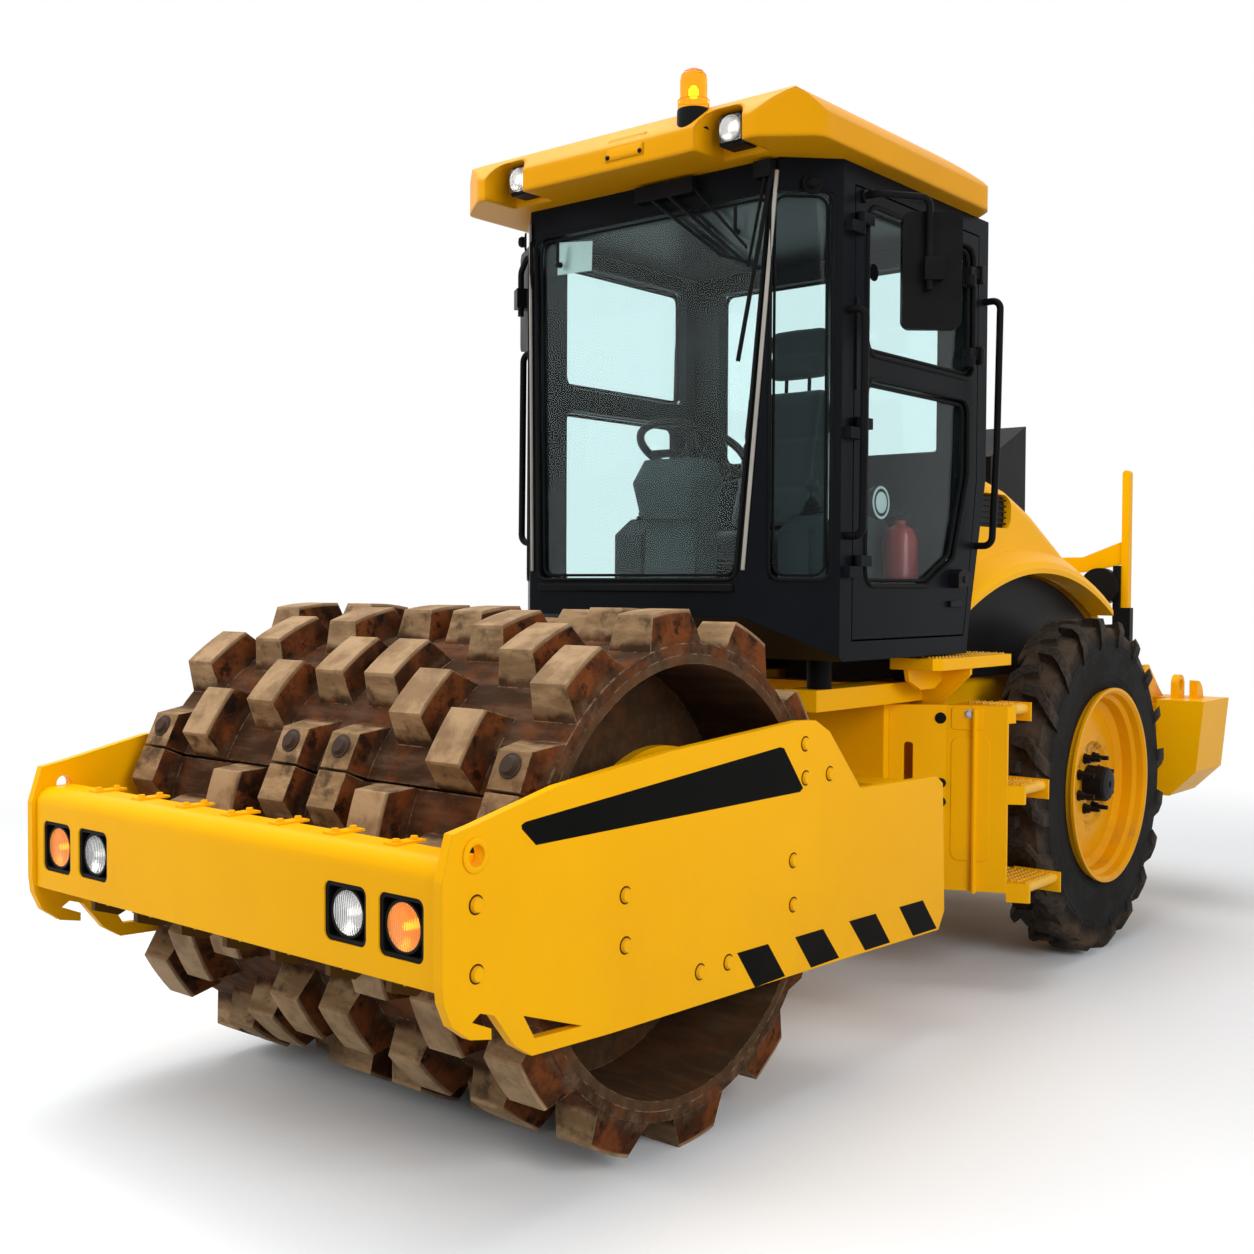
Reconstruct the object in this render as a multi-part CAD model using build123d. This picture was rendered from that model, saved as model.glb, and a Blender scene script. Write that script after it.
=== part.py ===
from build123d import *
import math
import os

# Padfoot roller: an articulated soil compactor with a padfoot drum in front and two wheels behind.
# Millimetres, +Z up, -Y forward, +X to the machine's left, origin on the ground below the middle.

# Driving sizes
wheelbase = 2660.0
drum_setback = 900.0
rear_reach = 1240.0
length = drum_setback + wheelbase + rear_reach
pivot_reach = 1380.0
frame_half = 825.0
plate_wall = 25.0

# Padfoot drum
drum_half = 760.0
shell_radius = 595.0
pad_high = 85.0
tip_radius = shell_radius + pad_high
shell_wall = 28.0
core_wall = 24.0
head_place = 430.0
head_wall = 30.0
shell_gap = 0.3
seam_angle = 155.0
seam_gap = 8.0
pads_round = 12
pad_root_radius = shell_radius - 25
pad_base_arc = 22.0
pad_tip_arc = 11.0
pad_base_wide = 140.0
pad_tip_wide = 104.0
clamp_far = 110.0
clamp_top_radius = shell_radius + 60
pad_rows = (  # place along the drum, start angle from the seam
    (690.0, 0.0),
    (495.0, 20.0),
    (290.0, 10.0),
    (100.0, 0.0),
)

# Wheels
tyre_radius = 650.0
tyre_inner = 575.0
tyre_outer = 798.0
bead_radius = 379.0
rim_wall = 14.0
disc_place = 690.0
hub_radius = 66.0
hub_reach = 796.0
tread_base = 614.0
lugs_round = 20
lug_wide = 46.0
axle_radius = 95.0
running_gap = 0.3

# Cab
cab_half = 650.0
cab_front = 668.0
cab_front_top = 755.0
cab_nose_half = 430.0
cab_nose_half_top = 512.0
cab_back = 1860.0
cab_floor = 1190.0
cab_sill_front = 1360.0
cab_top = 2700.0
cab_wall = 50.0
post_wide = 62.0
glass_wall = 6.0
glass_depth = 18.0
roof_half = 720.0

# Places worked out from the driving sizes
front_end = -length / 2
rear_end = length / 2
drum_y = front_end + drum_setback
rear_y = drum_y + wheelbase
pivot_y = drum_y + pivot_reach
drum_z = tip_radius
wheel_z = tyre_radius
plate_inner = frame_half - plate_wall

nodes = {}


def cuboid(x0, x1, y0, y1, z0, z1):
    return Pos((x0 + x1) / 2, (y0 + y1) / 2, (z0 + z1) / 2) * Box(x1 - x0, y1 - y0, z1 - z0)


def slab_x(points, x0, x1):
    """A side-view outline of (y, z) points given the thickness x0 to x1."""
    return Plane.YZ.offset(x0) * extrude(make_face(Polyline(points, close=True)), x1 - x0)


def slab_y(points, y0, y1):
    """A front-view outline of (x, z) points given the thickness y0 to y1."""
    return Plane.XZ.offset(-y1) * extrude(make_face(Polyline(points, close=True)), y1 - y0)


def slab_z(points, z0, z1):
    """A plan outline of (x, y) points given the thickness z0 to z1."""
    return Plane.XY.offset(z0) * extrude(make_face(Polyline(points, close=True)), z1 - z0)


def rounded(points, radius):
    """A flat outline with every corner rounded."""
    face = make_face(Polyline(points, close=True))
    return fillet(face.vertices(), radius)


def rod_x(y, z, radius, x0, x1):
    return Pos((x0 + x1) / 2, y, z) * Rot(0, 90, 0) * Cylinder(radius, x1 - x0)


def rod_y(x, z, radius, y0, y1):
    return Pos(x, (y0 + y1) / 2, z) * Rot(90, 0, 0) * Cylinder(radius, y1 - y0)


def rod_z(x, y, radius, z0, z1):
    return Pos(x, y, (z0 + z1) / 2) * Cylinder(radius, z1 - z0)


def other_side(shape):
    return mirror(shape, Plane.YZ)


def both_sides(*shapes):
    return Compound(children=[s for shape in shapes for s in (*shape.solids(), *other_side(shape).solids())])


def group(*shapes):
    return Compound(children=[s for shape in shapes for s in shape.solids()])


def turned(profile):
    """A ring about the X axis from a profile of (x, radius) points."""
    return revolve(make_face(Polyline(profile, close=True)), Axis.X)


def tube(points, radius, bend):
    """A round tube along straight runs with round corners."""
    route = FilletPolyline(*points, radius=bend)
    return sweep(Plane(origin=route @ 0, z_dir=route % 0) * Circle(radius), route)


def from_drum(points):
    """Outline points measured from the drum's axle along Y and from the ground along Z."""
    return [(drum_y + y, z) for y, z in points]


# Side plates of the drum frame
plate_outline = (
    (-900, 613), (-900, 820), (-871, 914), (-809, 925), (-559, 979), (-157, 1022), (399, 1056),
    (484, 1052), (556, 1016), (726, 840), (1184, 830), (1226, 804), (1245, 399), (1207, 345),
    (613, 365), (-382, 393), (-637, 406), (-689, 439), (-752, 519), (-793, 533), (-816, 519),
    (-760, 494), (-760, 471), (-821, 484), (-872, 521), (-895, 572),
)
eye_place = (-808, 863)
eye_radius = 22.0
slot_outline = ((-664, 499), (-474, 433), (-629, 442))

side_plate = slab_x(from_drum(plate_outline), plate_inner, frame_half)
side_plate -= rod_x(drum_y + eye_place[0], eye_place[1], eye_radius, plate_inner - 1, frame_half + 1)
side_plate -= slab_x(from_drum(slot_outline), plate_inner - 1, frame_half + 1)
nodes["side_plate_left"] = side_plate
nodes["side_plate_right"] = other_side(side_plate)

# Front beam with its four lamp pockets
beam_front = drum_y - 890
beam_back = drum_y - 745
beam_low = 590.0
beam_top = 860.0
beam_round = 45.0
beam = cuboid(-plate_inner, plate_inner, beam_front, beam_back, beam_low, beam_top)
beam = fillet(beam.edges().filter_by(Axis.X).group_by(Axis.Z)[-1], beam_round)
lamp_pockets = (  # inner edge, outer edge, bottom, top
    (440, 580, 645, 775),
    (620, 760, 640, 775),
)
pocket_deep = 70.0
pocket_round = 20.0
for x0, x1, z0, z1 in lamp_pockets:
    pocket = cuboid(x0, x1, beam_front - 1, beam_front + pocket_deep, z0, z1)
    pocket = fillet(pocket.edges().filter_by(Axis.Y), pocket_round)
    beam -= pocket
    beam -= other_side(pocket)
tine_places = (0, 190, 390, 595)
strap_half = 19.0
strap_wall = 5.0
for place in tine_places:
    strap = cuboid(place - strap_half, place + strap_half, beam_front + beam_round + 6, beam_back - 4, beam_top - 1,
                   beam_top + strap_wall)
    beam += strap
    if place:
        beam += other_side(strap)
nodes["front_beam"] = beam

lamp_shells = []
lamp_faces = []
lamp_wall = 10.0
for x0, x1, z0, z1 in lamp_pockets:
    shell = cuboid(x0, x1, beam_front + 4, beam_front + pocket_deep, z0, z1)
    shell = fillet(shell.edges().filter_by(Axis.Y), pocket_round)
    lens = cuboid(x0 + lamp_wall, x1 - lamp_wall, beam_front + 4, beam_front + 30, z0 + lamp_wall, z1 - lamp_wall)
    lens = fillet(lens.edges().filter_by(Axis.Y), pocket_round - lamp_wall)
    lamp_shells.append(shell - lens)
    lamp_faces.append(lens)
nodes["lamp_housings"] = both_sides(*lamp_shells)
nodes["head_lenses"] = both_sides(lamp_faces[0])
nodes["turn_lenses"] = both_sides(lamp_faces[1])

# Rear crossmember of the drum frame with the yoke that holds the centre pin
cross_front = drum_y + 1090
cross_rear = pivot_y - 140
pocket_reach = 70.0
cross_low = 400.0
cross_top = 800.0
ear_wall = 40.0
ear_half = 110.0
pin_radius = 38.0
boss_radius = 78.0
yoke_levels = ((430.0, 430.0 + ear_wall), (740.0, 740.0 + ear_wall))
cross = cuboid(-plate_inner, plate_inner, cross_front, cross_rear, cross_low, cross_top)
for z0, z1 in yoke_levels:
    cross += slab_z(((-ear_half, cross_rear - 1), (ear_half, cross_rear - 1), (boss_radius, pivot_y),
                     (-boss_radius, pivot_y)), z0, z1)
    cross += rod_z(0, pivot_y, boss_radius, z0, z1)
    cross -= rod_z(0, pivot_y, pin_radius, z0 - 1, z1 + 1)

# Clevis plates for the rod eyes of the steering cylinders
cylinder_x = 180.0
rod_pin_y = pivot_y - 90
barrel_pin_y = pivot_y + 520
cylinder_z = 600.0
eye_half = 24.0
clevis_gap = 6.0
clevis_wall = 18.0
clevis_half = 42.0
for level in (-1, 1):
    near = cylinder_z + level * (eye_half + clevis_gap)
    far = near + level * clevis_wall
    ear = cuboid(cylinder_x - clevis_half, cylinder_x + clevis_half, cross_rear - 1, rod_pin_y + 30,
                 min(near, far), max(near, far))
    cross += ear
    cross += other_side(ear)
eye_pocket = cuboid(cylinder_x - 85, cylinder_x + 85, cross_rear - pocket_reach, cross_rear + 1,
                    cylinder_z - eye_half - clevis_gap, cylinder_z + eye_half + clevis_gap)
cross = cross - eye_pocket - other_side(eye_pocket)
nodes["rear_crossmember"] = cross
nodes["centre_pin"] = rod_z(0, pivot_y, pin_radius, yoke_levels[0][0] - 20, yoke_levels[1][1] + 20)

# Padfoot drum: core shell with heads, and two bolted half shells that carry the pads
core_outer = shell_radius - shell_wall - shell_gap
stub_radius = 70.0
core = turned((
    (-drum_half, core_outer - core_wall), (-drum_half, core_outer), (drum_half, core_outer),
    (drum_half, core_outer - core_wall),
))
head = turned(((head_place, stub_radius + running_gap), (head_place, core_outer - core_wall + 1),
               (head_place + head_wall, core_outer - core_wall + 1),
               (head_place + head_wall, 150), (head_place + head_wall + 60, 130),
               (head_place + head_wall + 60, stub_radius + running_gap)))
core = core + head + other_side(head)
nodes["drum_shell"] = Pos(0, drum_y, drum_z) * core

base_half = pad_root_radius * math.radians(pad_base_arc / 2)
tip_half = tip_radius * math.radians(pad_tip_arc / 2)
pad_loft_top = tip_radius + 20
pad_blank = loft([
    Plane.XY.offset(pad_root_radius) * Rectangle(pad_base_wide, 2 * base_half),
    Plane.XY.offset(pad_loft_top) * Rectangle(pad_tip_wide, 2 * tip_half),
])
pad = pad_blank & (Rot(0, 90, 0) * Cylinder(tip_radius, 4 * drum_half))
clamp_lug = loft([
    Plane.XY.offset(pad_root_radius) * Pos(0, -clamp_far * 0.7) * Rectangle(pad_base_wide, clamp_far * 1.4),
    Plane.XY.offset(clamp_top_radius) * Pos(0, -clamp_far * 0.45) * Rectangle(pad_tip_wide, clamp_far * 0.9),
])


def pad_at(x, angle, shape=pad):
    """A pad at a place along the drum and an angle from +Y, rising towards +Z."""
    return Pos(x, drum_y, drum_z) * Rot(angle - 90, 0, 0) * shape


def half_shell(start):
    """Half of the padded shell, from its seam at an angle to the seam opposite."""
    ring = turned(((-drum_half, shell_radius - shell_wall), (-drum_half, shell_radius),
                   (drum_half, shell_radius), (drum_half, shell_radius - shell_wall)))
    reach = pad_base_arc / 2
    pads = []
    for place, shift in pad_rows:
        for turn in range(-1, pads_round):
            angle = shift + turn * 360 / pads_round
            shape = {0.0: clamp_lug, 180.0: mirror(clamp_lug, Plane.XZ)}.get(angle, pad)
            if -reach < angle < 180 + reach:
                pads += [pad_at(side * place, start + angle, shape) for side in (-1, 1)]
    keep = Pos(0, 0, tip_radius / 2 + seam_gap / 2) * Box(2 * drum_half + 10, 3 * tip_radius, tip_radius)
    placed = Pos(0, drum_y, drum_z)
    return (placed * ring).fuse(*pads) & (placed * Rot(start, 0, 0) * keep)


nodes["pad_shell_front"] = half_shell(seam_angle)
nodes["pad_shell_rear"] = half_shell(seam_angle + 180)

# Drum supports: a plate inside each drum end, held off the side plate by posts and rubber buffers
support_place = 640.0
support_wall = 30.0
support_radius = 330.0
buffer_radius = 42.0
buffer_long = 60.0
buffer_circle = 250.0
support = rod_x(drum_y, drum_z, support_radius, support_place, support_place + support_wall)
support += rod_x(drum_y, drum_z, stub_radius, head_place - 20, support_place + 1)
support += rod_x(drum_y, drum_z, 120, head_place + head_wall + 70, support_place + 1)
for turn in range(6):
    angle = math.radians(60 * turn + 30)
    support -= rod_x(drum_y + 180 * math.cos(angle), drum_z + 180 * math.sin(angle), 40,
                     support_place - 1, support_place + support_wall + 1)
post_list = []
buffer_list = []
for turn in range(6):
    angle = math.radians(60 * turn)
    y = drum_y + buffer_circle * math.cos(angle)
    z = drum_z + buffer_circle * math.sin(angle)
    buffer_list.append(rod_x(y, z, buffer_radius, support_place + support_wall,
                             support_place + support_wall + buffer_long))
    post_list.append(rod_x(y, z, buffer_radius + 8, support_place + support_wall + buffer_long, plate_inner))
nodes["drum_supports"] = both_sides(support)
nodes["support_posts"] = both_sides(*post_list)
nodes["buffers"] = both_sides(*buffer_list)

# Scraper tines between the pad rows, in front of and behind the drum, with their holders
tine_half = 9.0
tine_clear = 12.0
front_tine = from_drum(((-760, 572), (-760, 590), (-840, 590), (-840, 545), (-770, 522),
                        (-shell_radius - tine_clear, 590), (-shell_radius - tine_clear, 622)))
rear_tine = ((drum_y + 650, 700), (cross_front, 740), (cross_front, 600), (drum_y + 900, 600),
             (drum_y + shell_radius + tine_clear, 640), (drum_y + shell_radius + tine_clear, 690))
holder_half = 26.0
holder_high = 26.0
tines = []
for place in tine_places:
    for side in ((-1, 1) if place else (1,)):
        x = side * place
        holder = cuboid(x - holder_half, x + holder_half, beam_front + 56, beam_back - 10, beam_low - holder_high, beam_low)
        tines.append(slab_x(front_tine, x - tine_half, x + tine_half) + holder)
        tines.append(slab_x(rear_tine, x - tine_half, x + tine_half))
nodes["scrapers"] = group(*tines)

# Hose guard over the centre joint
nodes["hose_guard"] = slab_x(((cross_rear - 60, cross_top), (cross_rear - 60, cross_top + 60),
                              (cross_rear - 180, cross_top + 150), (cross_rear - 260, cross_top + 150),
                              (cross_rear - 150, cross_top)), 300, 360)

# Hood hinge
hood_hinge_y = drum_y + 1940
hood_hinge_z = 1785.0
hood_post_x = 362.0
hood_post_wall = 36.0
hood_pin = 12.0
hood_lug_gap = 3.0
hood_lug_wall = 16.0

# Rear chassis
tongue_half = 100.0
tongue_low = 500.0
tongue_high = 710.0
wall_front = drum_y + 1530
wall_back = wall_front + 60
beam_in = 360.0
beam_out = 440.0
chassis_low = 400.0
chassis_mid = 770.0
chassis_top = 1080.0
chassis_end = rear_end - 340
axle_clear = 140.0
chassis = cuboid(-beam_out, beam_out, wall_front, wall_back, chassis_low, chassis_top)
chassis += cuboid(-tongue_half, tongue_half, pivot_y, wall_front + 1, tongue_low, tongue_high)
chassis += rod_z(0, pivot_y, tongue_half, tongue_low, tongue_high)
chassis -= rod_z(0, pivot_y, pin_radius + running_gap, tongue_low - 1, tongue_high + 1)
rail = slab_x(((wall_front, chassis_low), (wall_front, chassis_top), (chassis_end, chassis_top),
               (chassis_end, chassis_low + 150), (rear_y + axle_clear, chassis_low + 150),
               (rear_y + axle_clear, chassis_mid), (rear_y - axle_clear, chassis_mid),
               (rear_y - axle_clear, chassis_low)), beam_in, beam_out)
chassis += rail + other_side(rail)
chassis += cuboid(-beam_out, beam_out, chassis_end - 60, chassis_end, chassis_low + 150, chassis_top)
arm_low = chassis_top - 60
cab_arm = cuboid(beam_out - 60, beam_out + 60, drum_y + 1000, wall_back + 260, arm_low, arm_low + 70)
chassis += cab_arm + other_side(cab_arm)

# Barrel lugs of the steering cylinders, on the chassis wall
for level in (-1, 1):
    near = cylinder_z + level * (eye_half + 1)
    far = near + level * clevis_wall
    lug = cuboid(cylinder_x - clevis_half, cylinder_x + clevis_half, barrel_pin_y - 45, barrel_pin_y + 120,
                 min(near, far), max(near, far))
    lug -= rod_z(cylinder_x, barrel_pin_y, 20, min(near, far) - 1, max(near, far) + 1)
    chassis += lug + other_side(lug)
barrel_window = cuboid(cylinder_x - 75, cylinder_x + 80, wall_front - 1, wall_back + 1, cylinder_z - 58,
                       cylinder_z + 58)
chassis = chassis - barrel_window - other_side(barrel_window)
chassis += cuboid(-beam_in - 1, beam_in + 1, barrel_pin_y + 60, barrel_pin_y + 120, cylinder_z - 60, cylinder_z + 60)
hinge_post = (cuboid(hood_post_x, hood_post_x + hood_post_wall, hood_hinge_y - 25, hood_hinge_y + 25, chassis_top - 1,
                     hood_hinge_z) + rod_x(hood_hinge_y, hood_hinge_z, 25, hood_post_x, hood_post_x + hood_post_wall))
hinge_post -= rod_x(hood_hinge_y, hood_hinge_z, hood_pin + running_gap, hood_post_x - 1, hood_post_x + hood_post_wall + 1)
chassis += hinge_post + other_side(hinge_post)
nodes["rear_frame"] = chassis

# Rear axle
axle_shaft = 50.0
axle = rod_x(rear_y, wheel_z, axle_radius, -tyre_inner + 45, tyre_inner - 45)
axle += rod_x(rear_y, wheel_z, axle_shaft, -hub_reach + 60, hub_reach - 60)
axle += turned(((-150, axle_radius - 5), (-90, 160), (90, 160), (150, axle_radius - 5), (150, 20), (-150, 20))).moved(
    Location((0, rear_y, wheel_z)))
for side in (-1, 1):
    x = side * (beam_in + beam_out) / 2
    axle += cuboid(x - 40, x + 40, rear_y - 100, rear_y + 100, wheel_z, chassis_mid)
nodes["rear_axle"] = axle

# Wheels
tyre_seat = bead_radius - 10 + running_gap
tyre_mid = (tyre_inner + tyre_outer) / 2
wall_step = 7.0
shoulder = 30.0
carcass = turned(((tyre_inner + 20, tyre_seat), (tyre_inner + wall_step, bead_radius + 50),
                  (tyre_inner + wall_step, tread_base - 60), (tyre_inner + shoulder, tread_base),
                  (tyre_outer - shoulder, tread_base), (tyre_outer - wall_step, tread_base - 60),
                  (tyre_outer - wall_step, bead_radius + 50), (tyre_outer - 20, tyre_seat)))
lug_envelope = turned(((tyre_mid - 30, tread_base - 90), (tyre_mid - 30, tyre_radius),
                       (tyre_outer - shoulder + 6, tyre_radius), (tyre_outer, tyre_radius - 40),
                       (tyre_outer, tread_base - 70), (tyre_outer - wall_step - 4, tread_base - 90)))
nose_x = tyre_mid - 18
bend_x = tyre_mid + 50
lug_plan = ((nose_x, 42), (bend_x, 30), (tyre_outer + 1, -50), (tyre_outer + 1, -50 - lug_wide),
            (bend_x - 8, 30 - lug_wide), (nose_x, 42 - lug_wide + 2))
lug = slab_z(lug_plan, tread_base - 100, tyre_radius + 5) & lug_envelope
lug_other = Pos(2 * tyre_mid, 0, 0) * mirror(lug, Plane.YZ)
lugs = []
for turn in range(lugs_round):
    angle = 360 * turn / lugs_round
    lugs += [Rot(angle, 0, 0) * lug, Rot(angle + 180 / lugs_round, 0, 0) * lug_other]
tyre = carcass.fuse(*lugs)

rim = turned(((tyre_inner + 10, bead_radius - 25), (tyre_inner + 10, bead_radius - 10),
              (tyre_outer, bead_radius - 10), (tyre_outer + 2, bead_radius), (tyre_outer + 14, bead_radius),
              (tyre_outer + 14, bead_radius - 12), (tyre_outer + 4, bead_radius - 22), (tyre_outer - 22, bead_radius - 26),
              (tyre_outer - 34, bead_radius - 42), (disc_place + 34, bead_radius - 46),
              (disc_place + rim_wall, bead_radius - 74), (disc_place + rim_wall + 8, bead_radius - 96),
              (disc_place + rim_wall + 22, 210), (disc_place + rim_wall + 26, 165), (disc_place + rim_wall + 12, 150),
              (disc_place + rim_wall + 12, hub_radius), (hub_reach - 6, hub_radius - 4), (hub_reach, hub_radius - 16),
              (hub_reach, 0.01), (hub_reach - 55, 0.01), (hub_reach - 55, axle_shaft + running_gap),
              (disc_place - 40, axle_shaft + running_gap), (disc_place - 40, 140), (disc_place + 6, 155),
              (disc_place + 12, 215), (disc_place - 6, bead_radius - 100), (disc_place - 14, bead_radius - 74),
              (disc_place + 10, bead_radius - 62), (disc_place - 10, bead_radius - 25)))
nodes["tyre_left"] = Pos(0, rear_y, wheel_z) * tyre
nodes["rim_left"] = Pos(0, rear_y, wheel_z) * rim
nodes["tyre_right"] = other_side(nodes["tyre_left"])
nodes["rim_right"] = other_side(nodes["rim_left"])

# Engine block and the dark panels beside it
hood_half = 520.0
flare_half = 590.0
hood_wall = 30.0
engine_low = chassis_mid + 80
nodes["engine_block"] = (cuboid(-300, 300, drum_y + 2050, drum_y + 3100, engine_low, 1340)
                         + cuboid(-beam_in, beam_in, drum_y + 2120, drum_y + 2200, engine_low, engine_low + 60)
                         + cuboid(-beam_in, beam_in, drum_y + 2920, drum_y + 3000, engine_low, engine_low + 60))
arch_front = drum_y + 1800
arch_rear = drum_y + 3220
arch_crown = 1475.0
arch_low = arch_crown - 175
panel_gap = 12.0
arch_mid = (arch_front + arch_rear) / 2
arch_curve = ThreePointArc((arch_front, arch_low), (arch_mid, arch_crown), (arch_rear, arch_low))
panel_start = arch_front + 70
panel_stop = arch_rear - 40
panel_curve = ThreePointArc((panel_start, arch_low - panel_gap), (arch_mid, arch_crown - panel_gap),
                            (panel_stop, arch_low - panel_gap))
panel_face = make_face([*panel_curve.edges(), *Polyline(
    (panel_stop, arch_low - panel_gap), (panel_stop, chassis_top), (panel_start, chassis_top),
    (panel_start, arch_low - panel_gap)).edges()])
panel_wall = 12.0
panel_x = hood_half - hood_wall - panel_wall - 8
bay_panel = Plane.YZ.offset(panel_x) * extrude(panel_face, panel_wall)
bay_foot = cuboid(beam_out - 20, panel_x, panel_start, panel_stop, chassis_top, chassis_top + panel_wall)
nodes["bay_panels"] = both_sides(bay_panel + bay_foot)

# Hood: a hollow shell with an arch over each wheel
hood_front = drum_y + 1900
hood_tail = drum_y + 3290
hood_top_line = ((hood_front, 1855), (drum_y + 2130, 1838), (drum_y + 2340, 1796), (drum_y + 2560, 1718),
                 (drum_y + 2820, 1592), (drum_y + 3110, 1444), (hood_tail, 1300))


def hood_blank(inset, half):
    """The hood's body, inset by a wall from its top, sides and tail."""
    top = [(y - (inset if n == len(hood_top_line) - 1 else 0), z - inset)
           for n, (y, z) in enumerate(hood_top_line)]
    line = [(top[0][0] - (1 if inset else 0), top[0][1]), *top[1:]]
    line += [(line[-1][0], arch_low - 20 - (1 if inset else 0)), (arch_front, arch_low - 20 - (1 if inset else 0)),
             (arch_front - (1 if inset else 0), arch_low), (line[0][0], 1780)]
    return slab_x(line, -half, half)


hood = hood_blank(0, hood_half)
hood = fillet(hood.edges().filter_by(lambda e: e.center().Z > 1360 and abs(e.center().X) > hood_half - 1
                                     and e.center().Y > hood_front + 1), 60)
hood -= hood_blank(hood_wall, hood_half - hood_wall)
wheel_cut_face = make_face([*arch_curve.edges(), *Polyline(
    (arch_rear, arch_low), (arch_rear, arch_low - 60), (arch_front, arch_low - 60), (arch_front, arch_low)).edges()])
wheel_cut = Plane.YZ.offset(-hood_half - 1) * extrude(wheel_cut_face, 2 * hood_half + 2)
hood -= wheel_cut
flare_faces = []
flare_in = hood_half - 10
flare_sections = (  # place outwards, rise of the flare above the arch
    (flare_in, 105.0),
    (flare_half - 12, 46.0),
    (flare_half, 20.0),
)
for place, rise in flare_sections:
    flare_curve = ThreePointArc((arch_front, arch_low + rise), (arch_mid, arch_crown + rise), (arch_rear, arch_low + rise))
    flare_faces.append(Plane.YZ.offset(place) * make_face([
        *arch_curve.edges(), *flare_curve.edges(),
        Line((arch_front, arch_low), (arch_front, arch_low + rise)),
        Line((arch_rear, arch_low), (arch_rear, arch_low + rise))]))
flare = loft(flare_faces, ruled=True)
hood += flare + other_side(flare)
lug_in = hood_post_x + hood_post_wall + hood_lug_gap
hood_lug = cuboid(lug_in, lug_in + hood_lug_wall, hood_hinge_y - 22, hood_hinge_y + 22, hood_hinge_z - 20, 1825)
hood_lug += rod_x(hood_hinge_y, hood_hinge_z, hood_pin, hood_post_x, lug_in + 1)
hood += hood_lug + other_side(hood_lug)
# Air intakes in the hood's sides and the cooler's opening in its tail, each with slats
intake_front = drum_y + 1985
intake_back = drum_y + 2350
intake_low = 1645.0
intake_high = 1772.0
intake_round = 45.0
slat_wall = 6.0
intake = cuboid(hood_half - hood_wall - 2, hood_half + 2, intake_front, intake_back, intake_low, intake_high)
intake = fillet(intake.edges().filter_by(Axis.X).filter_by(lambda e: e.center().Y > intake_front + 1), intake_round)
hood = hood - intake - other_side(intake)
slat_in = hood_half - hood_wall + 2
intake_slats = []
for step in range(5):
    z = intake_low + 16 + step * 22
    intake_slats.append(cuboid(slat_in, slat_in + 14, intake_front, intake_back - 12, z, z + slat_wall))
intake_mesh = cuboid(slat_in, slat_in + 4, intake_front, intake_back - 22, intake_low + 2, intake_high - 8)
intake_grille = intake_mesh.fuse(*intake_slats)
nodes["hood"] = hood
nodes["hood_grilles"] = both_sides(intake_grille & intake)

# Intake snorkel on the hood
snorkel = slab_x(((drum_y + 2420, 1600), (drum_y + 2420, 1935), (drum_y + 2740, 2080), (drum_y + 2740, 1600)),
                 100, 400)
snorkel -= hood_blank(0, hood_half)
nodes["snorkel"] = snorkel

# Counterweight across the rear
weight_front = chassis_end
bed_half = 530.0  # carries the guard's two posts
weight_half = 865.0
weight_low = 500.0
weight_top = 925.0
wing_in = weight_half - 205
wing_wall = 150.0
body_front = weight_front + wing_wall
weight = slab_y(((-weight_half, weight_top), (weight_half, weight_top), (weight_half - 30, 615),
                 (weight_half - 145, weight_low), (-weight_half + 145, weight_low),
                 (-weight_half + 30, 615)), weight_front, rear_end)
weight -= cuboid(-wing_in, wing_in, weight_front - 1, body_front, weight_low - 1, weight_top + 1)
weight += cuboid(-bed_half, bed_half, weight_front, body_front + 1, chassis_low + 160, weight_top)
lug_x = weight_half - 165
lug_y = weight_front + 150
lug_wall = 30.0
lug_hole = 25.0
lug_rise = 60.0
lug_rim = 46.0
lug_eye = rod_x(lug_y, weight_top + lug_rise, lug_rim, lug_x - lug_wall / 2, lug_x + lug_wall / 2)
lug_eye += cuboid(lug_x - lug_wall / 2, lug_x + lug_wall / 2, lug_y - lug_rim, lug_y + lug_rim, weight_top - 1,
                  weight_top + lug_rise)
lug_eye -= rod_x(lug_y, weight_top + lug_rise, lug_hole, lug_x - lug_wall, lug_x + lug_wall)
horn_x = weight_half - 105
horn = rod_x(lug_y + 30, weight_top, 80, horn_x - 18, horn_x + 18) & cuboid(
    horn_x - 18, horn_x + 18, lug_y + 30, lug_y + 120, weight_top - 1, weight_top + 90)
gusset_x = weight_half - 275
gusset = slab_x(((weight_front + 20, weight_top + 150), (weight_front + 70, weight_top + 150),
                 (weight_front + 200, weight_top + 40), (weight_front + 260, weight_top - 1),
                 (body_front - 20, weight_top - 1), (body_front - 20, weight_top - 120),
                 (weight_front + 20, weight_top - 120)), gusset_x - 8, gusset_x + 8)
gusset += cuboid(gusset_x - 8, wing_in + 1, weight_front + 20, weight_front + 32, weight_top - 120, weight_top - 20)
weight = weight.fuse(lug_eye, other_side(lug_eye), horn, other_side(horn), gusset, other_side(gusset))
nodes["counterweight"] = weight

# Rear guard: two posts and a cross plate
post_x = bed_half - 30
post_y = weight_front + 20
post_deep = 40.0
post_top = 1950.0
post_half = 16.0
guard_post = cuboid(post_x - post_half, post_x + post_half, post_y, post_y + post_deep, weight_top, post_top)
guard_post = fillet(guard_post.edges().filter_by(Axis.Y).group_by(Axis.Z)[-1], post_half - 1)
cross_plate = slab_y(((-post_x + 16, 1525), (-300, 1490), (300, 1490), (post_x - 16, 1525), (post_x - 16, 1630),
                      (300, 1560), (-300, 1560), (-post_x + 16, 1630)), post_y + 10, post_y + 22)
guard = guard_post + other_side(guard_post) + cross_plate
nodes["rear_guard"] = guard

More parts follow.
